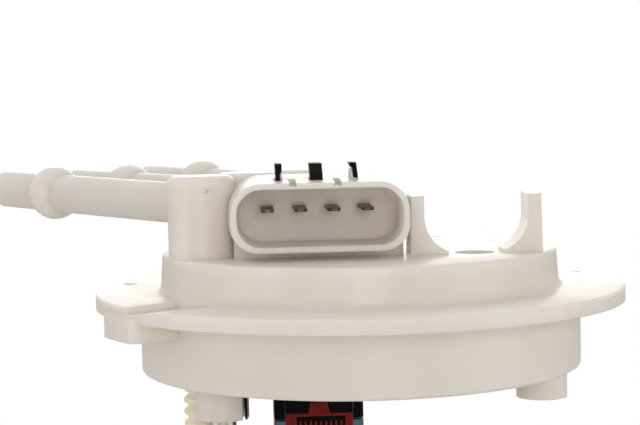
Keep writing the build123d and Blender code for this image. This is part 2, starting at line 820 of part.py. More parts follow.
with BuildPart() as jet_pump:
    with BuildSketch(Plane.XY.offset(floor_top)):
        with Locations(return_inlet):
            Circle(barb_radius + 1.4)
    extrude(amount=reservoir_top - 4.0 - floor_top)
    with BuildSketch(Plane.XY.offset(reservoir_top - 12.2)):
        with Locations(return_inlet):
            Circle(barb_radius + 0.05)
    extrude(amount=20, mode=Mode.SUBTRACT)
    with BuildSketch(Plane.XY.offset(floor_top + 5.0)):
        with Locations(return_inlet):
            Circle(2.4)
    extrude(amount=reservoir_top - 12.0 - floor_top - 5.0, mode=Mode.SUBTRACT)
    with BuildSketch(Plane.XZ.offset(-return_inlet[1])):
        with Locations((return_inlet[0], floor_top + 4.6)):
            Circle(4.4)
    extrude(amount=27.0)
    with BuildSketch(Plane.XZ.offset(-return_inlet[1])):
        with Locations((return_inlet[0], floor_top + 4.6)):
            Circle(1.2)
    extrude(amount=30.0, mode=Mode.SUBTRACT)
    with BuildSketch(Plane.XZ.offset(-return_inlet[1] + 27.0)):
        with Locations((return_inlet[0], floor_top + 4.6)):
            Circle(3.4)
    extrude(amount=-15.0, taper=9, mode=Mode.SUBTRACT)
finish(jet_pump, "jet_pump")

# ---------------------------------------------------------------- pump
inlet_bottom = can_bottom - 2.5
cover_top = can_bottom + 9.0
chamber_floor = cover_top - 4.0
with BuildPart() as pump_can:
    with BuildSketch(upright(pump_x, pump_y)):
        with BuildLine():
            Polyline(
                (can_radius - 4.0, can_bottom),
                (can_radius - 0.8, can_bottom),
                (can_radius, can_bottom + 0.8),
                (can_radius, can_top - 0.8),
                (can_radius - 0.8, can_top),
                (can_radius - 4.0, can_top),
                (can_radius - 4.0, can_top - can_wall),
                (can_radius - can_wall, can_top - can_wall),
                (can_radius - can_wall, can_bottom + can_wall),
                (can_radius - 4.0, can_bottom + can_wall),
                close=True,
            )
        make_face()
    revolve(axis=Axis((pump_x, pump_y, 0), (0, 0, 1)))
finish(pump_can, "pump_can")

inside = can_radius - can_wall - 0.05
with BuildPart() as pump_inlet_cover:
    with BuildSketch(Plane.XY.offset(can_bottom + can_wall)):
        with Locations((pump_x, pump_y)):
            Circle(inside)
    extrude(amount=cover_top - can_bottom - can_wall)
    with BuildSketch(Plane.XY.offset(inlet_bottom)):
        with Locations((pump_x, pump_y - 9.0)):
            Circle(5.0)
    extrude(amount=can_bottom + can_wall - inlet_bottom)
    with BuildSketch(Plane.XY.offset(chamber_floor)):
        with Locations((pump_x, pump_y)):
            Circle(16.4)
    extrude(amount=6.0, mode=Mode.SUBTRACT)
    with BuildSketch(Plane.XY.offset(inlet_bottom)):
        with Locations((pump_x, pump_y - 9.0)):
            Circle(3.6)
    extrude(amount=20.0, mode=Mode.SUBTRACT)
    # bore for the shaft's lower bush
    with BuildSketch(Plane.XY.offset(can_bottom + can_wall + 0.8)):
        with Locations((pump_x, pump_y)):
            Circle(3.0)
    extrude(amount=10.0, mode=Mode.SUBTRACT)
finish(pump_inlet_cover, "pump_inlet_cover")

plate_top = cover_top + 6.0
with BuildPart() as pump_body_plate:
    with BuildSketch(Plane.XY.offset(cover_top)):
        with Locations((pump_x, pump_y)):
            Circle(inside)
            Circle(shaft_radius + 0.6, mode=Mode.SUBTRACT)
        with Locations((pump_x, pump_y + 13.0)):
            Circle(1.8, mode=Mode.SUBTRACT)
    extrude(amount=plate_top - cover_top)
finish(pump_body_plate, "pump_body_plate")

vane_count = 24
impeller_radius, impeller_height = 16.0, 3.4
with BuildPart() as impeller:
    with BuildSketch(Plane.XY.offset(chamber_floor + 0.3)):
        with Locations((pump_x, pump_y)):
            Circle(impeller_radius)
            with PolarLocations(impeller_radius - 1.4, vane_count):
                Rectangle(3.6, 2.4, mode=Mode.SUBTRACT)
            Circle(shaft_radius + 0.02, mode=Mode.SUBTRACT)
    extrude(amount=impeller_height)
finish(impeller, "impeller")

bush_height = 5.0
shaft_bottom, shaft_top = can_bottom + 3.0, can_top - 4.6
with BuildPart() as motor_shaft:
    with BuildSketch(Plane.XY.offset(shaft_bottom)):
        with Locations((pump_x, pump_y)):
            Circle(shaft_radius)
    extrude(amount=shaft_top - shaft_bottom)
    chamfer(motor_shaft.edges().filter_by(GeomType.CIRCLE), 0.3)
finish(motor_shaft, "motor_shaft")

stack_bottom, stack_top = plate_top + 9.0, can_top - 22.0
slot_count = 8
with BuildPart() as armature:
    with BuildSketch(Plane.XY.offset(stack_bottom)):
        with Locations((pump_x, pump_y)):
            Circle(13.4)
            with PolarLocations(11.4, slot_count):
                Rectangle(4.6, 1.6, mode=Mode.SUBTRACT)
            Circle(shaft_radius + 0.02, mode=Mode.SUBTRACT)
    extrude(amount=stack_top - stack_bottom)
finish(armature, "armature")

with BuildPart() as windings:
    for low, high in ((stack_bottom - 4.0, stack_bottom), (stack_top, stack_top + 4.0)):
        with BuildSketch(Plane.XY.offset(low)):
            with Locations((pump_x, pump_y)):
                Circle(11.6)
                Circle(shaft_radius + 0.6, mode=Mode.SUBTRACT)
        extrude(amount=high - low)
finish(windings, "windings")

cap_bottom = can_top - 9.5
commutator_top = cap_bottom - 0.5
with BuildPart() as commutator:
    with BuildSketch(Plane.XY.offset(stack_top + 4.0)):
        with Locations((pump_x, pump_y)):
            Circle(8.6)
            with PolarLocations(6.6, slot_count):
                Rectangle(4.6, 0.5, mode=Mode.SUBTRACT)
            Circle(shaft_radius + 0.02, mode=Mode.SUBTRACT)
    extrude(amount=commutator_top - stack_top - 4.0)
finish(commutator, "commutator")

magnet_inner, magnet_outer = 14.2, 17.6
magnet_bottom, magnet_top = plate_top + 5.0, can_top - 15.0
with BuildPart() as magnets:
    with BuildSketch(Plane.XY.offset(magnet_bottom)):
        with Locations((pump_x, pump_y)):
            Circle(magnet_outer)
            Circle(magnet_inner, mode=Mode.SUBTRACT)
            Rectangle(60, 16, mode=Mode.SUBTRACT)
    extrude(amount=magnet_top - magnet_bottom)
finish(magnets, "magnets")

with BuildPart() as magnet_keepers:
    with BuildSketch(Plane.XY.offset(magnet_bottom)):
        with Locations((pump_x, pump_y)):
            Circle(magnet_outer)
            Circle(magnet_outer - 0.8, mode=Mode.SUBTRACT)
            Rectangle(15.8, 60, mode=Mode.SUBTRACT)
            with Locations((0, 18.0), (0, -18.0)):
                Rectangle(60, 20.3, mode=Mode.SUBTRACT)
    extrude(amount=magnet_top - magnet_bottom)
finish(magnet_keepers, "magnet_keepers")

dome_radius, dome_top = 14.5, can_top + 10.0
brush_offset = 6.2
brush_length = 8.0
well_top = dome_top - 2.6
with BuildPart() as pump_outlet_cap:
    with BuildSketch(Plane.XY.offset(cap_bottom)):
        with Locations((pump_x, pump_y)):
            Circle(inside)
    extrude(amount=can_top - can_wall - cap_bottom)
    with BuildSketch(Plane.XY.offset(can_top - can_wall)):
        with Locations((pump_x, pump_y)):
            Circle(dome_radius)
    extrude(amount=dome_top - can_top + can_wall)
    fillet(pump_outlet_cap.edges().group_by(Axis.Z)[-1], 1.6)
    with BuildSketch(Plane.XY.offset(dome_top - 2.0)):
        with Locations(outlet):
            Circle(pump_nipple_radius)
    extrude(amount=pump_nipple_step - dome_top + 2.0)
    with BuildSketch(Plane.XY.offset(pump_nipple_step)):
        with Locations(outlet):
            Circle(barb_radius)
    extrude(amount=pump_nipple_top - pump_nipple_step)
    with BuildSketch(Plane.XY.offset(cap_bottom + 24.0)):
        with Locations(outlet):
            Circle(pump_nipple_bore)
    extrude(amount=pump_nipple_step - cap_bottom - 24.0, mode=Mode.SUBTRACT)
    with BuildSketch(Plane.XY.offset(pump_nipple_step)):
        with Locations(outlet):
            Circle(barb_bore)
    extrude(amount=pump_nipple_top - pump_nipple_step, mode=Mode.SUBTRACT)
    with BuildSketch(Plane.XY.offset(cap_bottom)):
        with Locations(outlet):
            Circle(1.6)
        with Locations((pump_x, pump_y - brush_offset), (pump_x, pump_y + brush_offset)):
            Rectangle(4.8, 4.2)
    extrude(amount=well_top - cap_bottom, mode=Mode.SUBTRACT)
    with BuildSketch(Plane.XY.offset(well_top - 0.1)):
        with Locations(outlet):
            Circle(1.6)
    extrude(amount=12.0, mode=Mode.SUBTRACT)
    with BuildSketch(Plane.XY.offset(cap_bottom)):
        with Locations((pump_x, pump_y)):
            Circle(3.0)
    extrude(amount=bush_height + 0.6, mode=Mode.SUBTRACT)
finish(pump_outlet_cap, "pump_outlet_cap")

with BuildPart() as shaft_bushes:
    for low in (can_bottom + can_wall + 0.8, cap_bottom + 0.6):
        with BuildSketch(Plane.XY.offset(low)):
            with Locations((pump_x, pump_y)):
                Circle(2.98)
                Circle(shaft_radius + 0.05, mode=Mode.SUBTRACT)
        extrude(amount=3.2 if low < cap_bottom else bush_height - 0.2)
finish(shaft_bushes, "shaft_bushes")

brush_bottom = commutator_top + 0.05
with BuildPart() as brushes:
    with BuildSketch(Plane.XY.offset(brush_bottom)):
        with Locations((pump_x, pump_y - brush_offset), (pump_x, pump_y + brush_offset)):
            Rectangle(4.5, 3.9)
    extrude(amount=brush_length)
finish(brushes, "brushes")

with BuildPart() as brush_springs:
    for side in (-1, 1):
        foot = brush_bottom + brush_length + 0.35
        with BuildLine():
            helix = Helix(
                pitch=(well_top - 0.35 - foot) / 5,
                height=well_top - 0.35 - foot,
                radius=1.5,
                center=(pump_x, pump_y + side * brush_offset, foot),
            )
        with BuildSketch(Plane(origin=helix @ 0, z_dir=helix % 0)):
            RegularPolygon(0.28, 6)
        sweep(path=helix, is_frenet=True)
finish(brush_springs, "brush_springs")

# outlet check valve in the pump's nipple
seat_height = cap_bottom + 24.0
with BuildPart() as check_poppet:
    with BuildSketch(Plane.XY.offset(seat_height)):
        with Locations(outlet):
            Circle(2.2)
    extrude(amount=3.0)
    with BuildSketch(Plane.XY.offset(seat_height + 3.0)):
        with Locations(outlet):
            Circle(1.1)
    extrude(amount=2.6)
finish(check_poppet, "check_poppet")

cage_height = seat_height + 13.0
with BuildPart() as check_spring:
    with BuildLine():
        helix = Helix(
            pitch=1.8, height=cage_height - seat_height - 3.7, radius=1.8,
            center=(*outlet, seat_height + 3.35),
        )
    with BuildSketch(Plane(origin=helix @ 0, z_dir=helix % 0)):
        RegularPolygon(0.25, 6)
    sweep(path=helix, is_frenet=True)
finish(check_spring, "check_spring")

with BuildPart() as check_cage:
    with BuildSketch(Plane.XY.offset(cage_height)):
        with Locations(outlet):
            Circle(2.58)
            with PolarLocations(1.5, 3):
                Circle(0.55, mode=Mode.SUBTRACT)
    extrude(amount=1.4)
finish(check_cage, "check_cage")

with BuildPart() as pump_isolator:
    with BuildSketch(Plane.XY.offset(can_bottom + 3.0)):
        with Locations((pump_x, pump_y)):
            Circle(can_radius + 2.05)
            Circle(can_radius, mode=Mode.SUBTRACT)
            with PolarLocations(can_radius + 2.6, 12):
                Circle(1.2, mode=Mode.SUBTRACT)
    extrude(amount=16.0)
finish(pump_isolator, "pump_isolator")

with BuildPart() as pump_top_ring:
    with BuildSketch(Plane.XY.offset(can_top + 1.0)):
        with Locations((pump_x, pump_y)):
            Circle(collar_radius)
            Circle(dome_radius, mode=Mode.SUBTRACT)
    extrude(amount=6.0)
finish(pump_top_ring, "pump_top_ring")

with BuildPart() as outlet_grommet:
    with BuildSketch(Plane.XY.offset(reservoir_top)):
        with Locations(outlet):
            Circle(pump_nipple_radius + 1.55)
            Circle(pump_nipple_radius + 0.02, mode=Mode.SUBTRACT)
    extrude(amount=lid_thickness)
    with BuildSketch(Plane.XY.offset(lid_top)):
        with Locations(outlet):
            Circle(pump_nipple_radius + 2.6)
            Circle(pump_nipple_radius + 0.02, mode=Mode.SUBTRACT)
    extrude(amount=1.2)
finish(outlet_grommet, "outlet_grommet")

pump_plug_top = dome_top + 8.0
with BuildPart() as pump_plug:
    with BuildSketch(Plane.XY.offset(dome_top)):
        with Locations((pump_x - 8.0, pump_y)):
            RectangleRounded(7.6, 11.0, 1.2)
    extrude(amount=pump_plug_top - dome_top)
    with BuildSketch(Plane.XY.offset(pump_plug_top - 2.4)):
        with Locations((pump_x - 8.0, pump_y - 2.0), (pump_x - 8.0, pump_y + 2.0)):
            Circle(wire_radius + 0.02)
    extrude(amount=2.4, mode=Mode.SUBTRACT)
finish(pump_plug, "pump_plug")

strainer_bottom = floor_top + 0.4
strainer_top = can_bottom - 2.0
with BuildPart() as inlet_strainer:
    with BuildSketch(Plane.XY.offset(strainer_bottom)):
        with Locations((pump_x, pump_y - 2.0)):
            RectangleRounded(36.0, 24.0, 8.0)
    extrude(amount=strainer_top - 0.6 - strainer_bottom)
    with BuildSketch(Plane.XY.offset(strainer_top - 0.6)):
        with Locations((pump_x, pump_y - 9.0)):
            Circle(7.0)
    extrude(amount=1.6)
    with BuildSketch(Plane.XY.offset(inlet_bottom)):
        with Locations((pump_x, pump_y - 9.0)):
            Circle(5.05)
    extrude(amount=10, mode=Mode.SUBTRACT)
finish(inlet_strainer, "inlet_strainer")

# ---------------------------------------------------------------- hoses, clamps and wires
feed_points = [
    (*feed_nipple, -9.0),
    (*feed_nipple, -30.0),
    (-35.0, -4.0, -48.0),
    (-22.0, 6.0, -62.0),
    (0.0, 6.0, -72.0),
    (15.0, -4.0, -78.0),
    (*outlet, -88.0),
    (*outlet, pump_nipple_step + 0.4),
]
return_points = [
    (*return_nipple, -9.0),
    (*return_nipple, -26.0),
    (-9.0, 19.0, -42.0),
    (-13.0, 23.0, -60.0),
    (-22.0, 18.0, -76.0),
    (*return_inlet, -90.0),
    (*return_inlet, lid_top + 3.0),
]
for name, points in (("feed_hose", feed_points), ("return_hose", return_points)):
    with BuildPart() as hose:
        with BuildLine():
            path = route(points)
        with BuildSketch(Plane(origin=path @ 0, z_dir=path % 0)):
            Circle(hose_radius)
            Circle(barb_radius + hose_grip, mode=Mode.SUBTRACT)
        sweep(path=path)
    finish(hose, name)

with BuildPart() as hose_clamps:
    for place, low in ((outlet, pump_nipple_step + 3.0), (return_inlet, lid_top + 6.0)):
        with BuildSketch(Plane.XY.offset(low)):
            with Locations(place):
                Circle(hose_radius + 0.7)
            with Locations((place[0] + hose_radius + 0.6, place[1])):
                Rectangle(2.4, 2.6)
            with Locations(place):
                Circle(hose_radius + 0.02, mode=Mode.SUBTRACT)
        extrude(amount=6.0)
finish(hose_clamps, "hose_clamps")

sender_plug_x, sender_plug_y = reservoir_flat + 5.0, -9.0
sender_plug_top = -132.0
with BuildPart() as pump_leads:
    for start, side in zip(lead_places[2:], (-1, 1)):
        with BuildLine():
            path = route(
                [
                    (*start, plug_bottom + 2.8),
                    (*start, plug_bottom - 14.0),
                    (4.0 + 1.3 * side, -24.0, -80.0),
                    (2.0 + side, -10.0 + 1.5 * side, -100.0),
                    (pump_x - 8.0, pump_y + 2.0 * side, -111.0),
                    (pump_x - 8.0, pump_y + 2.0 * side, pump_plug_top - 2.2),
                ]
            )
        with BuildSketch(Plane(origin=path @ 0, z_dir=path % 0)):
            Circle(wire_radius)
        sweep(path=path)
finish(pump_leads, "pump_leads")

with BuildPart() as sender_leads:
    for start, side in zip(lead_places[:2], (-1, 1)):
        with BuildLine():
            path = route(
                [
                    (*start, plug_bottom + 2.8),
                    (*start, plug_bottom - 14.0),
                    (6.0, -30.0 + 1.4 * side, -78.0),
                    (30.0 - side, -31.0 + 1.4 * side, -98.0),
                    (sender_plug_x + 1.0, -14.0 + 2.0 * side, -114.0),
                    (sender_plug_x, sender_plug_y + 2.0 * side, -124.0),
                    (sender_plug_x, sender_plug_y + 2.0 * side, sender_plug_top - 2.2),
                ]
            )
        with BuildSketch(Plane(origin=path @ 0, z_dir=path % 0)):
            Circle(wire_radius)
        sweep(path=path)
finish(sender_leads, "sender_leads")

# ---------------------------------------------------------------- level sender on the flat
frame_face = reservoir_flat + 3.0
boss_face = frame_face + 4.0
hub_back, hub_face = boss_face + 0.4, boss_face + 2.4
arm_run = (-cos(radians(arm_rest)), -sin(radians(arm_rest)))
arm_travel = 82.0
peg_lead = 8.0  # the stop pegs stand this far beyond the arm's travel
peg_circle = 20.5


def facing(x):
    """The plane that faces +X at a distance; its own axes are Y and Z."""
    return Plane(origin=(x, 0, 0), x_dir=(0, 1, 0), z_dir=(1, 0, 0))


peg_places = [
    (
        pivot_y + peg_circle * cos(radians(angle)),
        pivot_z + peg_circle * sin(radians(angle)),
    )
    for angle in (180 + arm_rest + peg_lead, 180 + arm_rest - arm_travel - peg_lead)
]
with BuildPart() as sender_frame:
    with BuildSketch(facing(reservoir_flat)):
        with Locations((0, pivot_z)):
            RectangleRounded(40.0, 50.0, 3.0)
        with Locations((sender_plug_y, sender_plug_top - 4.0)):
            Rectangle(13.0, 14.0)
        with Locations((-13.0, pivot_z - 15.0), (13.0, pivot_z - 17.0)):
            Circle(3.0, mode=Mode.SUBTRACT)
    extrude(amount=3.0)
    with BuildSketch(facing(frame_face)):
        with Locations((-18.5, pivot_z), (18.5, pivot_z)):
            Rectangle(3.0, 44.0)
    extrude(amount=2.0)
    with BuildSketch(facing(frame_face)):
        with Locations((pivot_y, pivot_z)):
            Circle(5.0)
    extrude(amount=boss_face - frame_face)
    with BuildSketch(facing(frame_face)):
        with Locations(peg_places):
            Circle(1.5)
    extrude(amount=arm_plane + 1.2 - frame_face)
    with BuildSketch(facing(frame_face - 0.6)):
        with Locations((pivot_y, pivot_z)):
            Circle(arm_wire + 0.05)
    extrude(amount=6.0, mode=Mode.SUBTRACT)
finish(sender_frame, "sender_frame")

with BuildPart() as sender_plug:
    with BuildSketch(facing(frame_face)):
        with Locations((sender_plug_y, sender_plug_top - 4.0)):
            Rectangle(10.0, 8.0)
    extrude(amount=4.0)
    chamfer(sender_plug.edges().group_by(Axis.X)[-1], 0.6)
    with BuildSketch(Plane.XY.offset(sender_plug_top - 2.4)):
        with Locations(
            (sender_plug_x, sender_plug_y - 2.0), (sender_plug_x, sender_plug_y + 2.0)
        ):
            Circle(wire_radius + 0.02)
    extrude(amount=3.0, mode=Mode.SUBTRACT)
finish(sender_plug, "sender_plug")

with BuildPart() as resistor_card:
    with BuildSketch(facing(frame_face)):
        with Locations((pivot_y, pivot_z)):
            Circle(18.0)
            Circle(11.0, mode=Mode.SUBTRACT)
            with Locations((14.0, 0)):
                Rectangle(34.0, 60.0, mode=Mode.SUBTRACT)
    extrude(amount=0.8)
finish(resistor_card, "resistor_card")


def along_arm(x, distance):
    """The plane that faces +X; its origin is on the arm, and its X runs along the arm."""
    origin = (x, pivot_y + distance * arm_run[0], pivot_z + distance * arm_run[1])
    return Plane(origin=origin, x_dir=(0, *arm_run), z_dir=(1, 0, 0))


with BuildPart() as contact_wiper:
    with BuildSketch(along_arm(hub_back - 0.35, 9.5)):
        Rectangle(14.0, 3.0)
    extrude(amount=0.35)
    with BuildSketch(along_arm(frame_face + 0.85, 14.9)):
        Rectangle(3.2, 3.0)
    extrude(amount=hub_back - 0.35 - frame_face - 0.85)
finish(contact_wiper, "contact_wiper")

with BuildPart() as arm_hub:
    with BuildSketch(facing(hub_back)):
        with Locations((pivot_y, pivot_z)):
            Circle(6.0)
    extrude(amount=hub_face - hub_back)
    with BuildSketch(along_arm(hub_back, 7.0)):
        Rectangle(14.0, 6.0)
    extrude(amount=hub_face - hub_back)
    with BuildSketch(along_arm(hub_face - 0.1, 11.2)):
        Rectangle(5.6, 6.0)
    extrude(amount=arm_plane + 1.6 - hub_face)
    with BuildSketch(facing(hub_back)):
        with Locations((pivot_y, pivot_z)):
            Circle(arm_wire + 0.02)
    extrude(amount=6.0, mode=Mode.SUBTRACT)
    with BuildSketch(Plane(origin=(arm_plane, pivot_y, pivot_z), z_dir=(0, *arm_run))):
        Circle(arm_wire + 0.02)
    extrude(amount=20.0, mode=Mode.SUBTRACT)
finish(arm_hub, "arm_hub")

arm_end = (pivot_y + arm_length * arm_run[0], pivot_z + arm_length * arm_run[1])
float_start = arm_plane - 1.7 - float_length
with BuildPart() as float_arm:
    with BuildLine() as wire:
        FilletPolyline(
            (frame_face - 0.2, pivot_y, pivot_z),
            (arm_plane, pivot_y, pivot_z),
            (arm_plane, *arm_end),
            (float_start - 1.5, *arm_end),
            radius=1.6,
        )
    with BuildSketch(Plane(origin=wire.line @ 0, z_dir=wire.line % 0)):
        Circle(arm_wire)
    sweep(path=wire.line)
finish(float_arm, "float_arm")

with BuildPart() as level_float:
    with BuildSketch(facing(float_start)):
        with Locations(arm_end):
            Circle(float_radius)
            Circle(arm_wire + 0.05, mode=Mode.SUBTRACT)
    extrude(amount=float_length)
    ends = level_float.edges().filter_by(GeomType.CIRCLE)
    fillet(ends.filter_by(lambda edge: edge.radius > 5.0), 1.2)
finish(level_float, "level_float")

with BuildPart() as float_clip:
    with BuildSketch(facing(float_start - 1.2)):
        with Locations(arm_end):
            Circle(3.0)
            Circle(arm_wire + 0.02, mode=Mode.SUBTRACT)
    extrude(amount=1.0)
finish(float_clip, "float_clip")
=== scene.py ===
"""Looks of a fuel pump module: a moulded tank flange over a reservoir on sprung rods."""

import json
import logging
import math
from dataclasses import dataclass
from enum import Enum
from typing import Callable, Dict, List, Optional, Sequence, Tuple, Union

import bpy
from mathutils import Matrix, Vector


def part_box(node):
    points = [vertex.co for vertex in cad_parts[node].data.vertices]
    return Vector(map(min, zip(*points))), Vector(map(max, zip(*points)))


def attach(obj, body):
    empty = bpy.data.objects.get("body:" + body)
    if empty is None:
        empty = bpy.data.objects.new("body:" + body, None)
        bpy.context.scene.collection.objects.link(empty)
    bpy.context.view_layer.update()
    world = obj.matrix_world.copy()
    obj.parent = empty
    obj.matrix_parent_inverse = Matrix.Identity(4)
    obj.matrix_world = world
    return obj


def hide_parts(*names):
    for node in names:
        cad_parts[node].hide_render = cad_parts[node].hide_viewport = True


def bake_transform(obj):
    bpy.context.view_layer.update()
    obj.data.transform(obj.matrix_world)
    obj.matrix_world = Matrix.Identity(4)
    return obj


LOG = logging.getLogger("fuel_pump_module")
MM = 0.001
MERGE_GAP = 1e-6  # metres within which two points of one surface are the same
JOIN_GAP = 5e-6  # the same for points that a union leaves beside each other
WHITE = (1.0, 1.0, 1.0)
SLIDE = ("flange", "reservoir")  # the two bodies that come together as the springs give way
Point = Tuple[float, float, float]
Colour = Tuple[float, float, float]
Piece = bpy.types.Object

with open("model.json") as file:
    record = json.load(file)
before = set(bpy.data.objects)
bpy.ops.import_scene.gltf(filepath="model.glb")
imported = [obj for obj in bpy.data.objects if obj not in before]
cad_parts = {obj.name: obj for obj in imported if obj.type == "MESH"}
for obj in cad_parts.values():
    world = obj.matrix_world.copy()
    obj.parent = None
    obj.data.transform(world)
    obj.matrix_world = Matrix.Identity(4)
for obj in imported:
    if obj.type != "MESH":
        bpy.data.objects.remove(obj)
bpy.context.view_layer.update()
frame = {"nodes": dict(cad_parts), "record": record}


class Axis(Enum):
    """The direction in which an outline is drawn out."""

    Y = "along"
    Z = "up"


def linear(red: float, green: float, blue: float) -> Colour:
    """Turns a display colour into the linear colour that shaders take.

    Args:
        red: red, 0 to 255.
        green: green, 0 to 255.
        blue: blue, 0 to 255.

    Returns:
        The three linear values, 0 to 1.
    """

    def channel(value: float) -> float:
        """One value made linear."""
        share = value / 255.0
        return share / 12.92 if share <= 0.04045 else ((share + 0.055) / 1.055) ** 2.4

    return channel(red), channel(green), channel(blue)


# ------------------------------------------------------------------ shader arithmetic
class Signal:
    """A number that varies over a surface, usable in plain arithmetic."""

    def __init__(self, graph: "Graph", socket: bpy.types.NodeSocket) -> None:
        """Keeps the graph and the socket that the value comes from."""
        self.graph = graph
        self.socket = socket

    def maths(self, operation: str, *others: Union["Signal", float]) -> "Signal":
        """A Math node's output, with this signal as its first input and others after it."""
        inputs = {place: value for place, value in enumerate((self, *others))}
        return self.graph.node("ShaderNodeMath", {"operation": operation}, inputs)

    def __add__(self, other: Union["Signal", float]) -> "Signal":
        """Sum."""
        return self.maths("ADD", other)

    __radd__ = __add__

    def __sub__(self, other: Union["Signal", float]) -> "Signal":
        """Difference."""
        return self.maths("SUBTRACT", other)

    def __rsub__(self, other: float) -> "Signal":
        """Difference from a number, so that 1 - mask works."""
        return (self * -1.0) + other

    def __mul__(self, other: Union["Signal", float]) -> "Signal":
        """Product."""
        return self.maths("MULTIPLY", other)

    __rmul__ = __mul__

    def between(self, low: float, high: float) -> "Signal":
        """Rises smoothly from 0 to 1 as the value goes from low to high."""
        settings = {"interpolation_type": "SMOOTHSTEP"}
        return self.graph.node("ShaderNodeMapRange", settings, {"Value": self, 1: low, 2: high})


class Graph:
    """The node tree of a material or of the world, cleared and ready to be filled."""

    def __init__(self, owner: Union[bpy.types.Material, bpy.types.World]) -> None:
        """Clears the owner's tree.

        Args:
            owner: the material or the world.
        """
        self.owner = owner
        self.owner.use_nodes = True
        self.tree = self.owner.node_tree
        self.tree.nodes.clear()

    @classmethod
    def of_material(cls, name: str) -> "Graph":
        """The tree of a new material."""
        return cls(bpy.data.materials.new(name))

    def node(
        self,
        kind: str,
        settings: Optional[Dict[str, object]] = None,
        inputs: Optional[Dict[Union[str, int], object]] = None,
        output: Union[str, int] = 0,
    ) -> Optional[Signal]:
        """Adds one node.

        Args:
            kind: Blender's name of the node type.
            settings: the node's own properties, set first.
            inputs: values or signals, by socket name or number.
            output: the socket that is returned.

        Returns:
            The chosen output, or None from a node that has none.
        """
        made = self.tree.nodes.new(kind)
        for key, value in (settings or {}).items():
            setattr(made, key, value)
        for key, value in (inputs or {}).items():
            if isinstance(value, Signal):
                self.tree.links.new(value.socket, made.inputs[key])
            elif isinstance(value, tuple) and len(value) == 3 and made.inputs[key].type == "RGBA":
                made.inputs[key].default_value = (*value, 1.0)
            else:
                made.inputs[key].default_value = value
        return Signal(self, made.outputs[output]) if len(made.outputs) else None

    def place(self, scale: Point = (1.0, 1.0, 1.0)) -> Signal:
        """The point on the piece, in the frame's metres, times a scale."""
        spot = self.node("ShaderNodeTexCoord", output="Object")
        return self.node("ShaderNodeMapping", {}, {"Vector": spot, "Scale": scale})

    def axis(self, letter: str) -> Signal:
        """One of the point's own coordinates, in metres."""
        return self.node("ShaderNodeSeparateXYZ", {}, {0: self.place()}, output=letter)

    def noise(self, size: float, detail: float = 3.0, scale: Point = (1.0, 1.0, 1.0)) -> Signal:
        """Cloudy noise of 0 to 1 whose lumps are about a size in metres."""
        inputs = {"Vector": self.place(scale), "Scale": 1.0 / size, "Detail": detail}
        return self.node("ShaderNodeTexNoise", {}, inputs)

    def mix(self, share: Union[Signal, float], first: object, second: object) -> Signal:
        """A colour between two colours."""
        settings = {"data_type": "RGBA"}
        return self.node("ShaderNodeMix", settings, {0: share, 6: first, 7: second}, output=2)

    def bump(self, height: Signal, depth: float, rounding: float = 0.0) -> Signal:
        """A normal that follows a height.

        Args:
            height: the height, 0 to 1.
            depth: metres of relief at height 1.
            rounding: radius in metres by which sharp edges look rounded.

        Returns:
            The normal.
        """
        inputs: Dict[Union[str, int], object] = {"Height": height, "Distance": depth, "Strength": 1.0}
        if rounding:
            inputs["Normal"] = self.node("ShaderNodeBevel", {"samples": 6}, {"Radius": rounding})
        return self.node("ShaderNodeBump", {}, inputs)

    def edges(self, reach: float) -> Signal:
        """A mask that is 1 along sharp edges and 0 elsewhere.

        Args:
            reach: how far from an edge it goes, in metres.

        Returns:
            The mask.
        """
        rounded = self.node("ShaderNodeBevel", {"samples": 6}, {"Radius": reach})
        plain = self.node("ShaderNodeNewGeometry", output="Normal")
        settings = {"operation": "DOT_PRODUCT"}
        match = self.node("ShaderNodeVectorMath", settings, {0: rounded, 1: plain}, "Value")
        return (1.0 - match).between(0.01, 0.1)

    def surface(self, **inputs: object) -> bpy.types.Material:
        """Ends the tree in one Principled shader.

        Args:
            **inputs: the shader's sockets, with _ for each space in a name.

        Returns:
            The finished material.
        """
        named = {key.replace("_", " "): value for key, value in inputs.items()}
        shader = self.node("ShaderNodeBsdfPrincipled", {}, named)
        self.node("ShaderNodeOutputMaterial", {}, {"Surface": shader})
        return self.owner


# ------------------------------------------------------------------ finishes
@dataclass(frozen=True)
class Moulding:
    """Injection-moulded plastic: faint flow clouds, fine texture, softened edges, and on some a painted
    highlight along sharp edges.
    """

    name: str
    colour: Colour
    shade: Colour
    roughness: float = 0.42
    glow: float = 0.0  # share of light that passes under the surface
    depth: float = 0.004
    texture: float = 0.00002
    rounding: float = 0.0004
    coat: float = 0.0
    shine: float = 0.5
    edge_highlight: Optional[Colour] = None  # painted highlight: colour that sharp edges are lightened to, in patches
    scatter: Point = (0.92, 0.96, 1.0)  # reach of red, green and blue under the surface
    cloud_size: float = 0.03
    flow_size: float = 0.012
    grain_size: float = 0.0006
    edge_highlight_reach: float = 0.00022
    edge_highlight_patch_size: float = 0.004

    def make(self) -> bpy.types.Material:
        """Builds the material.

        Returns:
            The material.
        """
        graph = Graph.of_material(self.name)
        clouds = graph.noise(self.cloud_size, 4.0).between(0.35, 0.7)
        flow = graph.noise(self.flow_size, 2.0, (1.0, 1.0, 0.25)).between(0.3, 0.75)
        grain = graph.noise(self.grain_size, 2.0)
        colour = graph.mix(clouds * 0.7 + flow * 0.3, self.colour, self.shade)
        # Painted highlight: sharp edges are lightened in patches to stand in for the glints along them.
        if self.edge_highlight:
            patchy = graph.noise(self.edge_highlight_patch_size, 3.0).between(0.2, 0.6) * 0.6 + 0.4
            colour = graph.mix(graph.edges(self.edge_highlight_reach) * patchy, colour, self.edge_highlight)
        return graph.surface(
            Base_Color=colour,
            Roughness=flow * 0.1 + (self.roughness - 0.05),
            Subsurface_Weight=self.glow,
            Subsurface_Radius=self.scatter,
            Subsurface_Scale=self.depth,
            Coat_Weight=self.coat,
            Specular_IOR_Level=self.shine,
            Normal=graph.bump(grain, self.texture, self.rounding),
        )


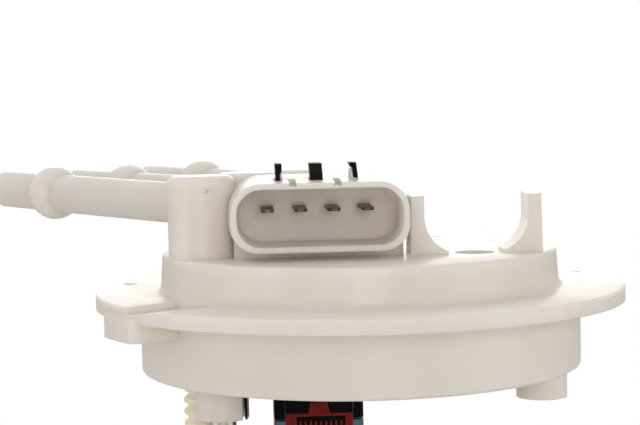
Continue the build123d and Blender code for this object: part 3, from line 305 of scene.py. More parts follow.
@dataclass(frozen=True)
class Metalwork:
    """Metal with drawn or turned marks, dulled a little where it is handled."""

    name: str
    colour: Colour
    stain: Colour
    roughness: float = 0.3
    lines: Point = (1.0, 1.0, 0.05)
    line_size: float = 0.0008
    rounding: float = 0.0002
    stain_size: float = 0.008
    relief: float = 0.00001

    def make(self) -> bpy.types.Material:
        """Builds the material.

        Returns:
            The material.
        """
        graph = Graph.of_material(self.name)
        marks = graph.noise(self.line_size, 3.0, self.lines)
        dulled = graph.noise(self.stain_size, 4.0).between(0.45, 0.75)
        return graph.surface(
            Base_Color=graph.mix(dulled * 0.6, self.colour, self.stain),
            Metallic=1.0 - dulled * 0.15,
            Roughness=marks * 0.16 + dulled * 0.15 + (self.roughness - 0.08),
            Normal=graph.bump(marks, self.relief, self.rounding),
        )


@dataclass(frozen=True)
class Elastomer:
    """Rubber, foam or cable cover: matt, with a fine skin."""

    name: str
    colour: Colour
    shade: Colour
    roughness: float = 0.7
    pore: float = 0.0008
    relief: float = 0.00005
    bloom_size: float = 0.01

    def make(self) -> bpy.types.Material:
        """Builds the material.

        Returns:
            The material.
        """
        graph = Graph.of_material(self.name)
        inputs = {"Vector": graph.place(), "Scale": 1.0 / self.pore}
        cells = graph.node("ShaderNodeTexVoronoi", {"feature": "SMOOTH_F1"}, inputs)
        bloom = graph.noise(self.bloom_size, 4.0).between(0.4, 0.8)
        return graph.surface(
            Base_Color=graph.mix(bloom, self.colour, self.shade),
            Roughness=bloom * 0.12 + self.roughness,
            Normal=graph.bump(cells, self.relief),
        )


@dataclass(frozen=True)
class WovenMesh:
    """Fine woven nylon of the inlet strainer."""

    name: str = "woven_nylon"
    thread: float = 0.0011
    relief: float = 0.00015
    soil_size: float = 0.012

    def make(self) -> bpy.types.Material:
        """Builds the material.

        Returns:
            The material.
        """
        graph = Graph.of_material(self.name)
        turn = 2.0 * math.pi / self.thread
        warp = (graph.axis("X") * turn).maths("SINE").maths("ABSOLUTE")
        weft = (graph.axis("Y") * turn).maths("SINE").maths("ABSOLUTE")
        weave = warp * weft
        soil = graph.noise(self.soil_size).between(0.4, 0.8)
        colour = graph.mix(weave, linear(214, 208, 196), linear(246, 242, 234))
        return graph.surface(
            Base_Color=graph.mix(soil * 0.4, colour, linear(205, 192, 166)),
            Roughness=0.65,
            Normal=graph.bump(weave, self.relief),
        )


@dataclass(frozen=True)
class PrintedCard:
    """Ceramic card of the level sender, printed with a thick-film resistor."""

    name: str = "printed_card"
    pivot: Point = (0.039, 0.008, -0.165)
    track: Tuple[float, float] = (0.0140, 0.0169)  # inner and outer radius of the bars
    rail: Tuple[float, float] = (0.0118, 0.0131)
    fade: float = 0.0001  # width of a printed edge
    bars_per_radian: float = 60.0
    relief: float = 0.00004

    def make(self) -> bpy.types.Material:
        """Builds the material.

        Returns:
            The material.
        """
        graph = Graph.of_material(self.name)
        across = graph.axis("Y") - self.pivot[1]
        up = graph.axis("Z") - self.pivot[2]
        radius = (across * across + up * up).maths("SQRT")
        angle = up.maths("ARCTAN2", across)
        track = self.ring(radius, *self.track)
        bars = (angle * self.bars_per_radian).maths("SINE").between(-0.1, 0.1)
        rail = self.ring(radius, *self.rail)
        silver = graph.mix(bars * track, linear(226, 220, 206), linear(168, 166, 160))
        ink = graph.mix(rail, silver, linear(54, 50, 46))
        return graph.surface(
            Base_Color=ink,
            Roughness=0.55 - bars * track * 0.2,
            Normal=graph.bump(bars * track + rail, self.relief),
        )

    def ring(self, radius: Signal, inner: float, outer: float) -> Signal:
        """1 between two radii and 0 elsewhere."""
        beyond = radius.between(outer - self.fade, outer)
        return radius.between(inner, inner + self.fade) * (1.0 - beyond)


FINISH_OF_SLOT: Dict[str, object] = {
    "acetal": Moulding(
        "natural_acetal", linear(237, 230, 222), linear(232, 224, 215), 0.4, 0.85, 0.006,
        shine=0.3, coat=0.15,
    ),
    # The dark, black, blue and red plastics carry a painted highlight along their sharp edges.
    "dark_plastic": Moulding(
        "dark_plastic", linear(24, 18, 17), linear(12, 9, 8), 0.42, rounding=0.0002, shine=0.06,
        edge_highlight=linear(70, 60, 56),
    ),
    "black_plastic": Moulding(
        "black_plastic", linear(7, 6, 6), linear(4, 4, 4), 0.5, shine=0.05, edge_highlight=linear(92, 88, 84)
    ),
    "blue_plastic": Moulding(
        "blue_plastic", linear(74, 104, 124), linear(56, 84, 104), 0.35, shine=0.3,
        edge_highlight=linear(104, 136, 156),
    ),
    "red_plastic": Moulding(
        "red_plastic", linear(114, 15, 17), linear(86, 8, 10), 0.4, shine=0.1, edge_highlight=linear(214, 74, 66)
    ),
    "grey_plastic": Moulding("grey_plastic", linear(150, 148, 142), linear(138, 136, 130), 0.45),
    "hose": Moulding(
        "hose_nylon", linear(250, 238, 218), linear(246, 230, 206), 0.32, 0.6, 0.005, 0.00001
    ),
    "steel": Metalwork("ground_steel", linear(196, 192, 184), linear(150, 144, 134), 0.28),
    "spring_steel": Metalwork("spring_wire", linear(176, 172, 164), linear(120, 114, 106), 0.35),
    "tinned_blade": Metalwork(
        "plated_blade", linear(104, 88, 60), linear(60, 50, 36), 0.42, (0.1, 1.0, 1.0)
    ),
    "aluminium": Metalwork("cast_aluminium", linear(214, 214, 214), linear(180, 180, 178), 0.4),
    "bronze": Metalwork("plain_bronze", linear(190, 150, 98), linear(140, 104, 66), 0.35),
    "copper": Metalwork("winding_copper", linear(200, 120, 74), linear(150, 84, 48), 0.32),
    "lamination": Metalwork(
        "stacked_sheet", linear(120, 120, 122), linear(84, 82, 80), 0.45, (0.02, 0.02, 1.0), 0.0006
    ),
    "seal": Elastomer("black_rubber", linear(34, 33, 32), linear(46, 45, 44)),
    "lead": Elastomer("cable_cover", linear(30, 29, 28), linear(40, 39, 38), 0.5, 0.002, 0.00002),
    "black_foam": Elastomer(
        "closed_cell_foam", linear(44, 41, 40), linear(58, 54, 52), 0.85, 0.0011, 0.00016
    ),
    "carbon": Elastomer("pressed_carbon", linear(40, 40, 42), linear(56, 56, 58), 0.6, 0.0006, 0.00003),
    "ferrite": Elastomer(
        "sintered_ferrite", linear(52, 50, 50), linear(70, 66, 62), 0.6, 0.001, 0.00004
    ),
    "mesh": WovenMesh(),
    "ceramic_card": PrintedCard(),
}


class Wardrobe:
    """Makes each finish once and puts it on pieces and nodes."""

    def __init__(self) -> None:
        """Starts with no material made."""
        self.made: Dict[str, bpy.types.Material] = {}

    def material(self, slot: str) -> bpy.types.Material:
        """The material of one of the record's slots, made when it is first asked for.

        Args:
            slot: the slot's name.

        Returns:
            The material.
        """
        if slot not in self.made:
            self.made[slot] = FINISH_OF_SLOT[slot].make()
        return self.made[slot]

    def dress(self, piece: Piece, slot: str) -> None:
        """Gives a piece one finish all over."""
        piece.data.materials.clear()
        piece.data.materials.append(self.material(slot))

    def hang(self, piece: Piece, slot: str, body: str) -> None:
        """Finishes a piece and lets it move with a body.

        Args:
            piece: the piece.
            slot: its slot.
            body: the body.
        """
        self.dress(piece, slot)
        LOG.info("%s: %s, on %s", piece.name, slot, body)
        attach(piece, body)

    def stretch(self, piece: Piece, slot: str, ends: Tuple[str, str], top: float, foot: float) -> None:
        """Finishes a piece, logs the two bodies that hold its ends, and bakes its place into its mesh.

        Args:
            piece: the piece.
            slot: its slot.
            ends: the bodies at its top and at its foot.
            top: height in millimetres above which it stays with the first; not used.
            foot: height below which it moves with the second; not used.
        """
        self.dress(piece, slot)
        LOG.info("%s: %s, between %s and %s", piece.name, slot, *ends)
        top * MM
        foot * MM
        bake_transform(piece)

    def dress_nodes(self) -> None:
        """Gives every CAD node the finish of its slot."""
        for row in frame["record"]["subparts"]:
            self.dress(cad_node(row["node"]), row["material_slot"])


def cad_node(name: str) -> Piece:
    """The object of a CAD node."""
    return frame["nodes"][name]


# ------------------------------------------------------------------ modelling helpers
def clear_selection() -> None:
    """Leaves edit mode and deselects everything."""
    if bpy.context.object and bpy.context.object.mode != "OBJECT":
        bpy.ops.object.mode_set(mode="OBJECT")
    bpy.ops.object.select_all(action="DESELECT")


def pick(piece: Piece) -> None:
    """Selects one object alone and makes it active.

    Args:
        piece: the object.
    """
    clear_selection()
    piece.select_set(True)
    bpy.context.view_layer.objects.active = piece


def settle(piece: Piece, name: str, smooth: float = 35.0) -> Piece:
    """Names a piece, applies its modifiers and its place, and shades it.

    Args:
        piece: the object.
        name: its name.
        smooth: edges flatter than this angle in degrees are shaded smooth.

    Returns:
        The piece.
    """
    pick(piece)
    if piece.type != "MESH":
        bpy.ops.object.convert(target="MESH")
        piece = bpy.context.object
    for modifier in list(piece.modifiers):
        bpy.ops.object.modifier_apply(modifier=modifier.name)
    bpy.ops.object.transform_apply(location=True, rotation=True, scale=True)
    if smooth:
        bpy.ops.object.shade_smooth_by_angle(angle=math.radians(smooth))
    piece.name = piece.data.name = name
    return piece


def add_modifier(piece: Piece, kind: str, **settings: object) -> bpy.types.Modifier:
    """Adds a modifier.

    Args:
        piece: the object that gets it.
        kind: Blender's name of its type.
        **settings: its own properties.

    Returns:
        The modifier.
    """
    modifier = piece.modifiers.new(kind.title(), kind)
    for key, value in settings.items():
        setattr(modifier, key, value)
    return modifier


def select_where(piece: Piece, test: Callable[[Vector], bool]) -> None:
    """Enters edit mode with only the points selected that pass a test.

    Args:
        piece: the mesh.
        test: says of a point's place whether the point is selected.
    """
    pick(piece)
    for item in (*piece.data.edges, *piece.data.polygons):
        item.select = False
    for vertex in piece.data.vertices:
        vertex.select = test(vertex.co)
    bpy.ops.object.mode_set(mode="EDIT")
    bpy.ops.mesh.select_mode(type="VERT")


def path_curve(points: Sequence[Point], name: str, thickness: float = 0.0) -> Piece:
    """A smooth curve whose control points are a route's points.

    Args:
        points: the points, in metres.
        name: the curve's name.
        thickness: its radius in metres, or 0 for a bare line.

    Returns:
        The curve.
    """
    data = bpy.data.curves.new(name, "CURVE")
    data.dimensions = "3D"
    data.resolution_u = 16
    data.bevel_depth = thickness
    data.bevel_resolution = 4
    data.use_fill_caps = True
    spline = data.splines.new("NURBS")
    spline.points.add(len(points) - 1)
    for place, point in zip(spline.points, points):
        place.co = (*point, 1.0)
    spline.order_u = 3
    spline.use_endpoint_u = True
    curve = bpy.data.objects.new(name, data)
    bpy.context.scene.collection.objects.link(curve)
    return curve


def metres(points: Sequence[Point]) -> List[Point]:
    """Turns points in millimetres into metres."""
    return [(x * MM, y * MM, z * MM) for x, y, z in points]


# ------------------------------------------------------------------ studio
@dataclass(frozen=True)
class Lamp:
    """A square soft lamp."""

    name: str
    place: Point
    power: float  # watts
    size: float = 0.8
    tint: Colour = (1.0, 0.985, 0.96)
    aim: Point = (0.0, 0.0, -0.05)

    def build(self) -> None:
        """Hangs the lamp and turns it to its aim."""
        data = bpy.data.lights.new(self.name, "AREA")
        data.size, data.energy, data.color = self.size, self.power, self.tint
        lamp = bpy.data.objects.new(self.name, data)
        bpy.context.scene.collection.objects.link(lamp)
        lamp.location = self.place
        lamp.rotation_mode = "QUATERNION"
        lamp.rotation_quaternion = (Vector(self.aim) - Vector(self.place)).to_track_quat("-Z", "Y")


@dataclass
class Studio:
    """Camera, lamps, floor and the white surround."""

    eye: Point = (-0.02799, -0.37225, 0.0460)
    pitch: float = 0.06810  # radians below level
    yaw: float = -0.02403 + math.radians(4.3)
    roll: float = -0.02177
    focal_pixels: float = 1581.27
    picture_width: float = 640.0
    floor_height: float = -0.2332
    fill: float = 0.34
    fill_tint: Colour = (1.0, 0.985, 0.955)
    floor_radius: float = 6.0
    floor_bounce: Colour = (0.78, 0.765, 0.735)  # the floor's colour as the object is lit by it
    floor_tone: Colour = (0.86, 0.86, 0.86)  # and as the eye sees it
    floor_fade: Tuple[float, float] = (0.3, 1.0)  # it turns white between these distances
    lamps: Tuple[Lamp, ...] = (
        Lamp("overhead", (-0.2, 0.3, 1.1), 6.0, 1.8, (1.0, 0.995, 0.98), (0.0, 0.0, 0.0)),
        Lamp("front", (0.05, -1.3, 0.17), 3.0, 0.45, (1.0, 0.99, 0.975), (0.0, 0.0, 0.0)),
        Lamp("left", (-1.15, -0.5, 0.1), 3.4),
        Lamp("right", (1.15, -0.5, 0.1), 3.0),
        Lamp("back", (0.1, 1.3, 0.2), 3.2),
        Lamp("glint", (0.48, -0.99, 0.4), 0.6, 0.03, WHITE, (0.0, 0.0, 0.0)),
    )

    def camera(self) -> None:
        """Sets the camera where the reference view is taken from."""
        forward = Vector(
            (
                math.sin(self.yaw) * math.cos(self.pitch),
                math.cos(self.yaw) * math.cos(self.pitch),
                -math.sin(self.pitch),
            )
        )
        level = Vector((math.cos(self.yaw), -math.sin(self.yaw), 0.0))
        above = level.cross(forward)
        right = math.cos(self.roll) * level + math.sin(self.roll) * above
        up = -math.sin(self.roll) * level + math.cos(self.roll) * above
        axes = Matrix((right, up, -forward)).transposed()
        data = bpy.data.cameras.new("camera")
        data.sensor_width = 36.0
        data.lens = data.sensor_width * self.focal_pixels / self.picture_width
        data.clip_start, data.clip_end = 0.01, 50.0
        eye = bpy.data.objects.new("camera", data)
        bpy.context.scene.collection.objects.link(eye)
        eye.matrix_world = Matrix.Translation(self.eye) @ axes.to_4x4()
        bpy.context.scene.camera = eye

    def surround(self) -> None:
        """White world to the eye, in gloss and through glass; plain soft light elsewhere."""
        graph = Graph(bpy.data.worlds.new("surround"))
        bpy.context.scene.world = graph.owner
        camera, glass, gloss = (
            graph.node("ShaderNodeLightPath", output=f"Is {kind} Ray")
            for kind in ("Camera", "Transmission", "Glossy")
        )
        seen = camera.maths("MAXIMUM", glass).maths("MAXIMUM", gloss)
        strength = graph.node("ShaderNodeMix", {}, {0: seen, 2: self.fill, 3: 1.0})
        colour = graph.mix(seen, self.fill_tint, WHITE)
        light = graph.node("ShaderNodeBackground", {}, {"Color": colour, "Strength": strength})
        graph.node("ShaderNodeOutputWorld", {}, {"Surface": light})

    def floor(self) -> None:
        """A round pale floor that keeps the shadow and fades into white."""
        clear_selection()
        bpy.ops.mesh.primitive_circle_add(
            vertices=96, radius=self.floor_radius, fill_type="NGON", location=(0, 0, self.floor_height)
        )
        ground = settle(bpy.context.object, "floor", 0.0)
        graph = Graph.of_material("pale_floor")
        across, along = graph.axis("X"), graph.axis("Y")
        reach = (across * across + along * along).maths("SQRT")
        seen = graph.node("ShaderNodeLightPath", output="Is Camera Ray")
        tone = graph.mix(seen, self.floor_bounce, self.floor_tone)
        matt = graph.node("ShaderNodeBsdfDiffuse", {}, {"Color": tone})
        white = graph.node("ShaderNodeEmission", {}, {"Color": WHITE, "Strength": 1.0})
        share = reach.between(*self.floor_fade) * seen
        mixed = graph.node("ShaderNodeMixShader", {}, {0: share, 1: matt, 2: white})
        graph.node("ShaderNodeOutputMaterial", {}, {"Surface": mixed})
        ground.data.materials.append(graph.owner)

    def build(self) -> None:
        """Sets up everything round the object."""
        bpy.context.scene.view_settings.view_transform = "Standard"
        self.camera()
        self.surround()
        self.floor()
        for lamp in self.lamps:
            lamp.build()


# ------------------------------------------------------------------ pieces and their shapes
def edit_all() -> None:
    """Enters edit mode with the whole mesh selected."""
    bpy.ops.object.mode_set(mode="EDIT")
    bpy.ops.mesh.select_all(action="SELECT")


def face_outward() -> None:
    """Turns every face outward and leaves edit mode."""
    bpy.ops.mesh.select_all(action="SELECT")
    bpy.ops.mesh.normals_make_consistent(inside=False)
    bpy.ops.object.mode_set(mode="OBJECT")


def slab(
    name: str, low: Point, high: Point, rounding: float = 0.2, segments: int = 3
) -> Piece:
    """A block with rounded edges.

    Args:
        name: the piece's name.
        low: its lowest corner in millimetres.
        high: its highest corner.
        rounding: radius of its edges.
        segments: facets across each edge.

    Returns:
        The piece.
    """
    clear_selection()
    middle = tuple((a + b) / 2 * MM for a, b in zip(low, high))
    bpy.ops.mesh.primitive_cube_add(size=1.0, location=middle)
    block = bpy.context.object
    block.scale = tuple((b - a) * MM for a, b in zip(low, high))
    bpy.ops.object.transform_apply(scale=True)
    add_modifier(block, "BEVEL", width=rounding * MM, segments=segments, limit_method="ANGLE")
    return settle(block, name)


def drawn(name: str, points: Sequence[Point], fill: str) -> Piece:
    """A circle whose corners are moved to a list of points.

    Args:
        name: the piece's name.
        points: the points, in metres.
        fill: NGON for a face, or NOTHING for a bare outline.

    Returns:
        The piece.
    """
    clear_selection()
    bpy.ops.mesh.primitive_circle_add(vertices=len(points), radius=MM, fill_type=fill)
    outline = bpy.context.object
    outline.name = name
    for vertex, point in zip(outline.data.vertices, points):
        vertex.co = point
    return outline


def prism(
    name: str, outline: Sequence[Tuple[float, float]], near: float, far: float,
    axis: Axis = Axis.Y, rounding: float = 0.15,
) -> Piece:
    """An outline in millimetres drawn out along an axis, with rounded edges.

    Args:
        name: the piece's name.
        outline: corners, as (x, z) for axis Y or (x, y) for axis Z.
        near: where the prism starts along the axis.
        far: where it ends.
        axis: the axis.
        rounding: radius of its edges.

    Returns:
        The piece.
    """

    def corner(across: float, up: float, along: float) -> Point:
        """A corner's place in metres."""
        spot = (across, along, up) if axis is Axis.Y else (across, up, along)
        return tuple(value * MM for value in spot)

    block = drawn(name, [corner(a, b, near) for a, b in outline], "NGON")
    pick(block)
    edit_all()
    move = corner(0.0, 0.0, far - near)
    bpy.ops.mesh.extrude_region_move(TRANSFORM_OT_translate={"value": move})
    face_outward()
    if rounding:
        add_modifier(block, "BEVEL", width=rounding * MM, segments=2, limit_method="ANGLE")
    return settle(block, name)


def turned(
    name: str, profile: Sequence[Tuple[float, float]], centre: Tuple[float, float], steps: int = 48
) -> Piece:
    """A closed profile turned about an upright axis.

    Args:
        name: the piece's name.
        profile: its corners, as (radius, height) in millimetres.
        centre: where the axis stands.
        steps: facets round the axis.

    Returns:
        The piece.
    """
    ring = drawn(name, [(r * MM, 0.0, z * MM) for r, z in profile], "NOTHING")
    ring.location = (centre[0] * MM, centre[1] * MM, 0.0)
    add_modifier(
        ring, "SCREW", steps=steps, render_steps=steps, use_merge_vertices=True,
        merge_threshold=MERGE_GAP,
    )
    pick(ring)
    bpy.ops.object.modifier_apply(modifier="Screw")
    edit_all()
    face_outward()
    return settle(ring, name, 40.0)


def merged_copy(node: str) -> Piece:
    """A free copy of a CAD node, with its loose triangles merged into one surface.

    Args:
        node: the node.

    Returns:
        The copy.
    """
    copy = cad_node(node).copy()
    copy.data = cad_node(node).data.copy()
    copy.parent = None
    bpy.context.scene.collection.objects.link(copy)
    select_where(copy, lambda spot: True)
    bpy.ops.mesh.remove_doubles(threshold=MERGE_GAP)
    bpy.ops.mesh.customdata_custom_splitnormals_clear()
    bpy.ops.object.mode_set(mode="OBJECT")
    return copy


def joined(
    name: str, nodes: Sequence[str], marks: Sequence[Piece] = (), flat: float = 0.4
) -> Piece:
    """One closed piece made of CAD nodes that touch face to face.

    Args:
        name: the piece's name.
        nodes: the nodes.
        marks: raised marks that become part of the piece.
        flat: faces that meet at less than this angle in degrees become one.

    Returns:
        The piece.
    """
    whole, *parts = [merged_copy(node) for node in nodes]
    for part in (*parts, *marks):
        add_modifier(whole, "BOOLEAN", operation="UNION", solver="EXACT", object=part)
        pick(whole)
        bpy.ops.object.modifier_apply(modifier="Boolean")
        bpy.data.objects.remove(part)
    select_where(whole, lambda spot: True)
    bpy.ops.mesh.remove_doubles(threshold=JOIN_GAP)
    bpy.ops.mesh.dissolve_limited(angle_limit=math.radians(flat))
    bpy.ops.object.mode_set(mode="OBJECT")
    whole = settle(whole, name, 32.0)
    for node in nodes:
        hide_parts(node)
    return whole


def disc(
    name: str, centre: Point, facing: Point, radius: float, height: float, squash: float = 1.0
) -> Piece:
    """A low round or oval pad with a softened rim.

    Args:
        name: the piece's name.
        centre: the middle of its base in millimetres.
        facing: the direction that it stands up in.
        radius: its radius in millimetres.
        height: how far it stands up.
        squash: its height over its width, seen from the front.

    Returns:
        The piece.
    """
    clear_selection()
    bpy.ops.mesh.primitive_circle_add(vertices=32, radius=radius * MM, fill_type="NGON")
    pad = bpy.context.object
    edit_all()
    bpy.ops.transform.resize(value=(1.0, squash, 1.0), center_override=(0, 0, 0))
    bpy.ops.mesh.extrude_region_move(TRANSFORM_OT_translate={"value": (0, 0, height * MM)})
    bpy.ops.mesh.inset(thickness=min(height, radius * squash / 3) * MM, depth=height / 3 * MM)
    face_outward()
    pad.rotation_mode = "QUATERNION"
    pad.rotation_quaternion = Vector(facing).to_track_quat("Z", "Y")
    pad.location = tuple(value * MM for value in centre)
    return settle(pad, name, 50.0)


def gathered(name: str, pieces: Sequence[Piece]) -> Piece:
    """Several pieces of one moulding, joined into one object.

    Args:
        name: the object's name.
        pieces: the pieces.

    Returns:
        The object.
    """
    pick(pieces[0])
    for piece in pieces[1:]:
        piece.select_set(True)
    bpy.ops.object.join()
    return settle(bpy.context.object, name, 0.0)


@dataclass
class Assembly:
    """Pieces that are built together and dressed from one wardrobe."""

    wardrobe: Wardrobe


# ------------------------------------------------------------------ moulded flange
@dataclass
class Flange(Assembly):
    """The moulded flange and the marks that moulding leaves on it."""

    top: float = 12.0
    brim_top: float = 3.3
    turret: Tuple[float, float] = (-36.6, -13.1)
    turret_radius: float = 7.65
    gate_height: float = 27.4
    pin_spots: Tuple[Tuple[float, float], ...] = (
        (8.0, 30.0), (34.0, 12.0), (-2.0, 42.0), (22.0, 26.0), (4.0, 8.0)
    )

    def build(self) -> None:
        """Joins the flange's nodes and its marks."""
        nodes = ("flange_cover", "nipple_block", "connector_shell")
        moulding = joined("flange_moulding", nodes, (self.gate(), self.pin_marks()))
        self.wardrobe.hang(moulding, "acetal", "flange")

    def gate(self) -> Piece:
        """The stub left where the moulding's gate was cut off the first turret.

        Returns:
            The stub.
        """
        x, y = self.turret
        place = (x + 0.9, y - self.turret_radius + 0.1, self.gate_height)
        return disc("gate_stub", place, (0, -1, 0), 1.0, 0.3, 0.42)

    def pin_marks(self) -> Piece:
        """Round witness marks of the ejector pins, on the roof and at the back of the brim.

        Returns:
            The marks as one object.
        """
        roof = [disc("pin", (x, y, self.top - 0.08), (0, 0, 1), 1.6, 0.12) for x, y in self.pin_spots]
        brim = []
        for turn in range(4):
            angle = math.radians(15.0 + 50.0 * turn)
            spot = (57.0 * math.cos(angle), 57.0 * math.sin(angle), self.brim_top - 0.05)
            brim.append(disc("pin", spot, (0, 0, 1), 1.5, 0.12))
        return gathered("ejector_marks", roof + brim)


@dataclass
class IndexKeys(Assembly):
    """Dark keys clipped to the top of the connector shell, two of them hooked over a web."""

    front: float = -23.8
    back: float = -16.8
    foot: float = 29.05
    head: float = 33.1

    def build(self) -> None:
        """Makes the three keys and the two webs."""
        left = [
            (-19.75, self.foot), (-18.85, self.foot), (-18.85, 30.9), (-18.45, 31.5),
            (-18.45, self.head), (-19.95, self.head),
        ]
        middle = [(-12.05, self.foot), (-9.35, self.foot), (-9.6, self.head), (-12.35, self.head)]
        right = [
            (-2.55, 29.8), (-1.6, 29.8), (-1.95, self.head), (-3.45, self.head), (-3.35, 32.5),
            (-2.95, 31.9), (-2.8, 32.6), (-2.65, 32.0),
        ]
        for name, outline in (("key_left", left), ("key_middle", middle), ("key_right", right)):
            key = prism(name, outline, self.back, self.front, rounding=0.1)
            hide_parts("index_keys")
            self.wardrobe.hang(key, "dark_plastic", "flange")
        webs = {
            "key_web_left": [
                (-18.83, self.foot), (-18.3, self.foot), (-18.42, 31.2), (-18.6, 31.2), (-18.83, 30.85)
            ],
            "key_web_right": [
                (-3.25, self.foot), (-1.3, self.foot), (-1.6, 29.75), (-2.6, 29.75), (-3.1, 31.8),
                (-3.35, 31.9),
            ],
        }
        for name, outline in webs.items():
            web = prism(name, outline, self.back + 0.1, self.front + 0.1, rounding=0.08)
            self.wardrobe.hang(web, "acetal", "flange")


@dataclass
class PlugDetails(Assembly):
    """Grip of the harness plug's lock, and a black wedge of painted shade in the front rod's boss."""

    header_x: float = -11.1
    face: float = -18.5
    pocket_top: float = -24.3
    pocket_height: float = 8.0
    pocket_width: float = 11.3
    pocket_depth: float = 0.6
    grips: int = 9

    def build(self) -> None:
        """Makes the grip panel with its ribs, and the black wedge of painted shade."""
        middle = self.header_x + 0.4
        floor = self.face + self.pocket_depth
        low = (
            middle - self.pocket_width / 2 + 0.05, floor - 0.15,
            self.pocket_top - self.pocket_height + 0.05,
        )
        high = (middle + self.pocket_width / 2 - 0.05, floor + 0.02, self.pocket_top - 0.05)
        self.wardrobe.hang(slab("lock_panel", low, high, 0.05, 1), "black_plastic", "flange")
        pitch = (self.pocket_width - 2.0) / (self.grips - 1)
        ribs = []
        for number in range(self.grips):
            x = middle - (self.pocket_width - 2.0) / 2 + pitch * number
            near, far = (x - 0.2, floor - 0.38, low[2] + 1.2), (x + 0.2, floor - 0.1, high[2] - 1.2)
            ribs.append(slab("rib", near, far, 0.1, 2))
        self.wardrobe.hang(gathered("lock_grip_ribs", ribs), "red_plastic", "flange")
        # Painted shade: a black wedge in the slit of the front rod's boss, standing in for the shadow
        # inside the slit.
        wedge = [(-28.33, -12.1), (-27.27, -12.1), (-27.3, -23.9), (-27.85, -23.9)]
        key = prism("rod_slot_shade", wedge, -18.7, -22.0, rounding=0.08)
        self.wardrobe.hang(key, "black_plastic", "flange")


# ------------------------------------------------------------------ reservoir and pump
@dataclass
class InletStrainer(Assembly):
    """A flat pillow of woven mesh welded round its rim, on a moulded neck."""

    centre: Tuple[float, float] = (8.0, -8.0)
    reach: Tuple[float, float] = (17.9, 11.9)  # half its length and half its width
    low: float = -225.5
    high: float = -221.7
    rim: float = 0.25
    welds: Tuple[float, ...] = (-9.0, 0.0, 9.0)
    neck: Tuple[float, float] = (8.0, -15.0)
    neck_radius: float = 6.9
    neck_bore: float = 5.15
    neck_top: float = -220.05

    def build(self) -> None:
        """Makes the pillow and the neck."""
        bag = self.pillow()
        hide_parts("inlet_strainer")
        self.wardrobe.hang(bag, "mesh", "reservoir")
        base = self.high - 0.7
        profile = [
            (self.neck_bore, base), (self.neck_radius, base), (self.neck_radius, self.neck_top - 0.4),
            (self.neck_radius - 0.4, self.neck_top), (self.neck_bore, self.neck_top),
        ]
        neck = turned("strainer_neck", profile, self.neck)
        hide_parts("inlet_strainer")
        self.wardrobe.hang(neck, "dark_plastic", "reservoir")

    def pillow(self) -> Piece:
        """The mesh bag, crowned between its rim and the spots where its sheets are welded.

        Returns:
            The bag.
        """
        clear_selection()
        bpy.ops.mesh.primitive_grid_add(x_subdivisions=36, y_subdivisions=24, size=2.0)
        bag = bpy.context.object
        edit_all()
        bpy.ops.mesh.extrude_region_move(TRANSFORM_OT_translate={"value": (0, 0, 1.0)})
        face_outward()
        middle, swell = (self.low + self.high) / 2, (self.high - self.low) / 2
        for vertex in bag.data.vertices:
            across, along, side = vertex.co
            inward = min(1.0, (1.0 - max(abs(across), abs(along))) / 0.4)
            crown = self.rim + (swell - self.rim) * math.sin(inward * math.pi / 2)
            x = self.reach[0] * across * math.sqrt(1.0 - 0.22 * along * along)
            y = self.reach[1] * along * math.sqrt(1.0 - 0.3 * across * across)
            for weld in self.welds:
                gap = math.hypot(x - weld, y - 3.0)
                crown -= (swell - 0.6) * 0.7 * math.exp(-((gap / 2.2) ** 2)) * inward
            height = middle + (crown if side > 0.5 else -crown)
            vertex.co = ((self.centre[0] + x) * MM, (self.centre[1] + y) * MM, height * MM)
        return settle(bag, "strainer_pillow", 40.0)


@dataclass
class HoseClamp(Assembly):
    """Rolled edges and the crimped ear of a band clamp."""

    number: int
    centre: Tuple[float, float]
    low: float
    high: float
    band: float = 5.7

    def build(self) -> None:
        """Makes the two rolled edges and the ear."""
        x, y = self.centre
        edges = []
        for place in (self.low + 0.3, self.high - 0.3):
            roll = [
                (self.band - 0.1, place - 0.3), (self.band + 0.15, place - 0.25),
                (self.band + 0.28, place), (self.band + 0.15, place + 0.25),
                (self.band - 0.1, place + 0.3),
            ]
            edges.append(turned("roll", roll, self.centre, 40))
        ear = [
            (5.4, -1.5), (6.3, -2.0), (6.9, -1.5), (6.75, -0.6), (6.55, 0.0), (6.75, 0.6), (6.9, 1.5),
            (6.3, 2.0), (5.4, 1.5),
        ]
        outline = [(x + across, y + along) for across, along in ear]
        edges.append(prism("ear", outline, self.low + 0.9, self.high - 0.9, Axis.Z, 0.2))
        self.wardrobe.hang(gathered(f"clamp_edges_{self.number}", edges), "steel", "reservoir")


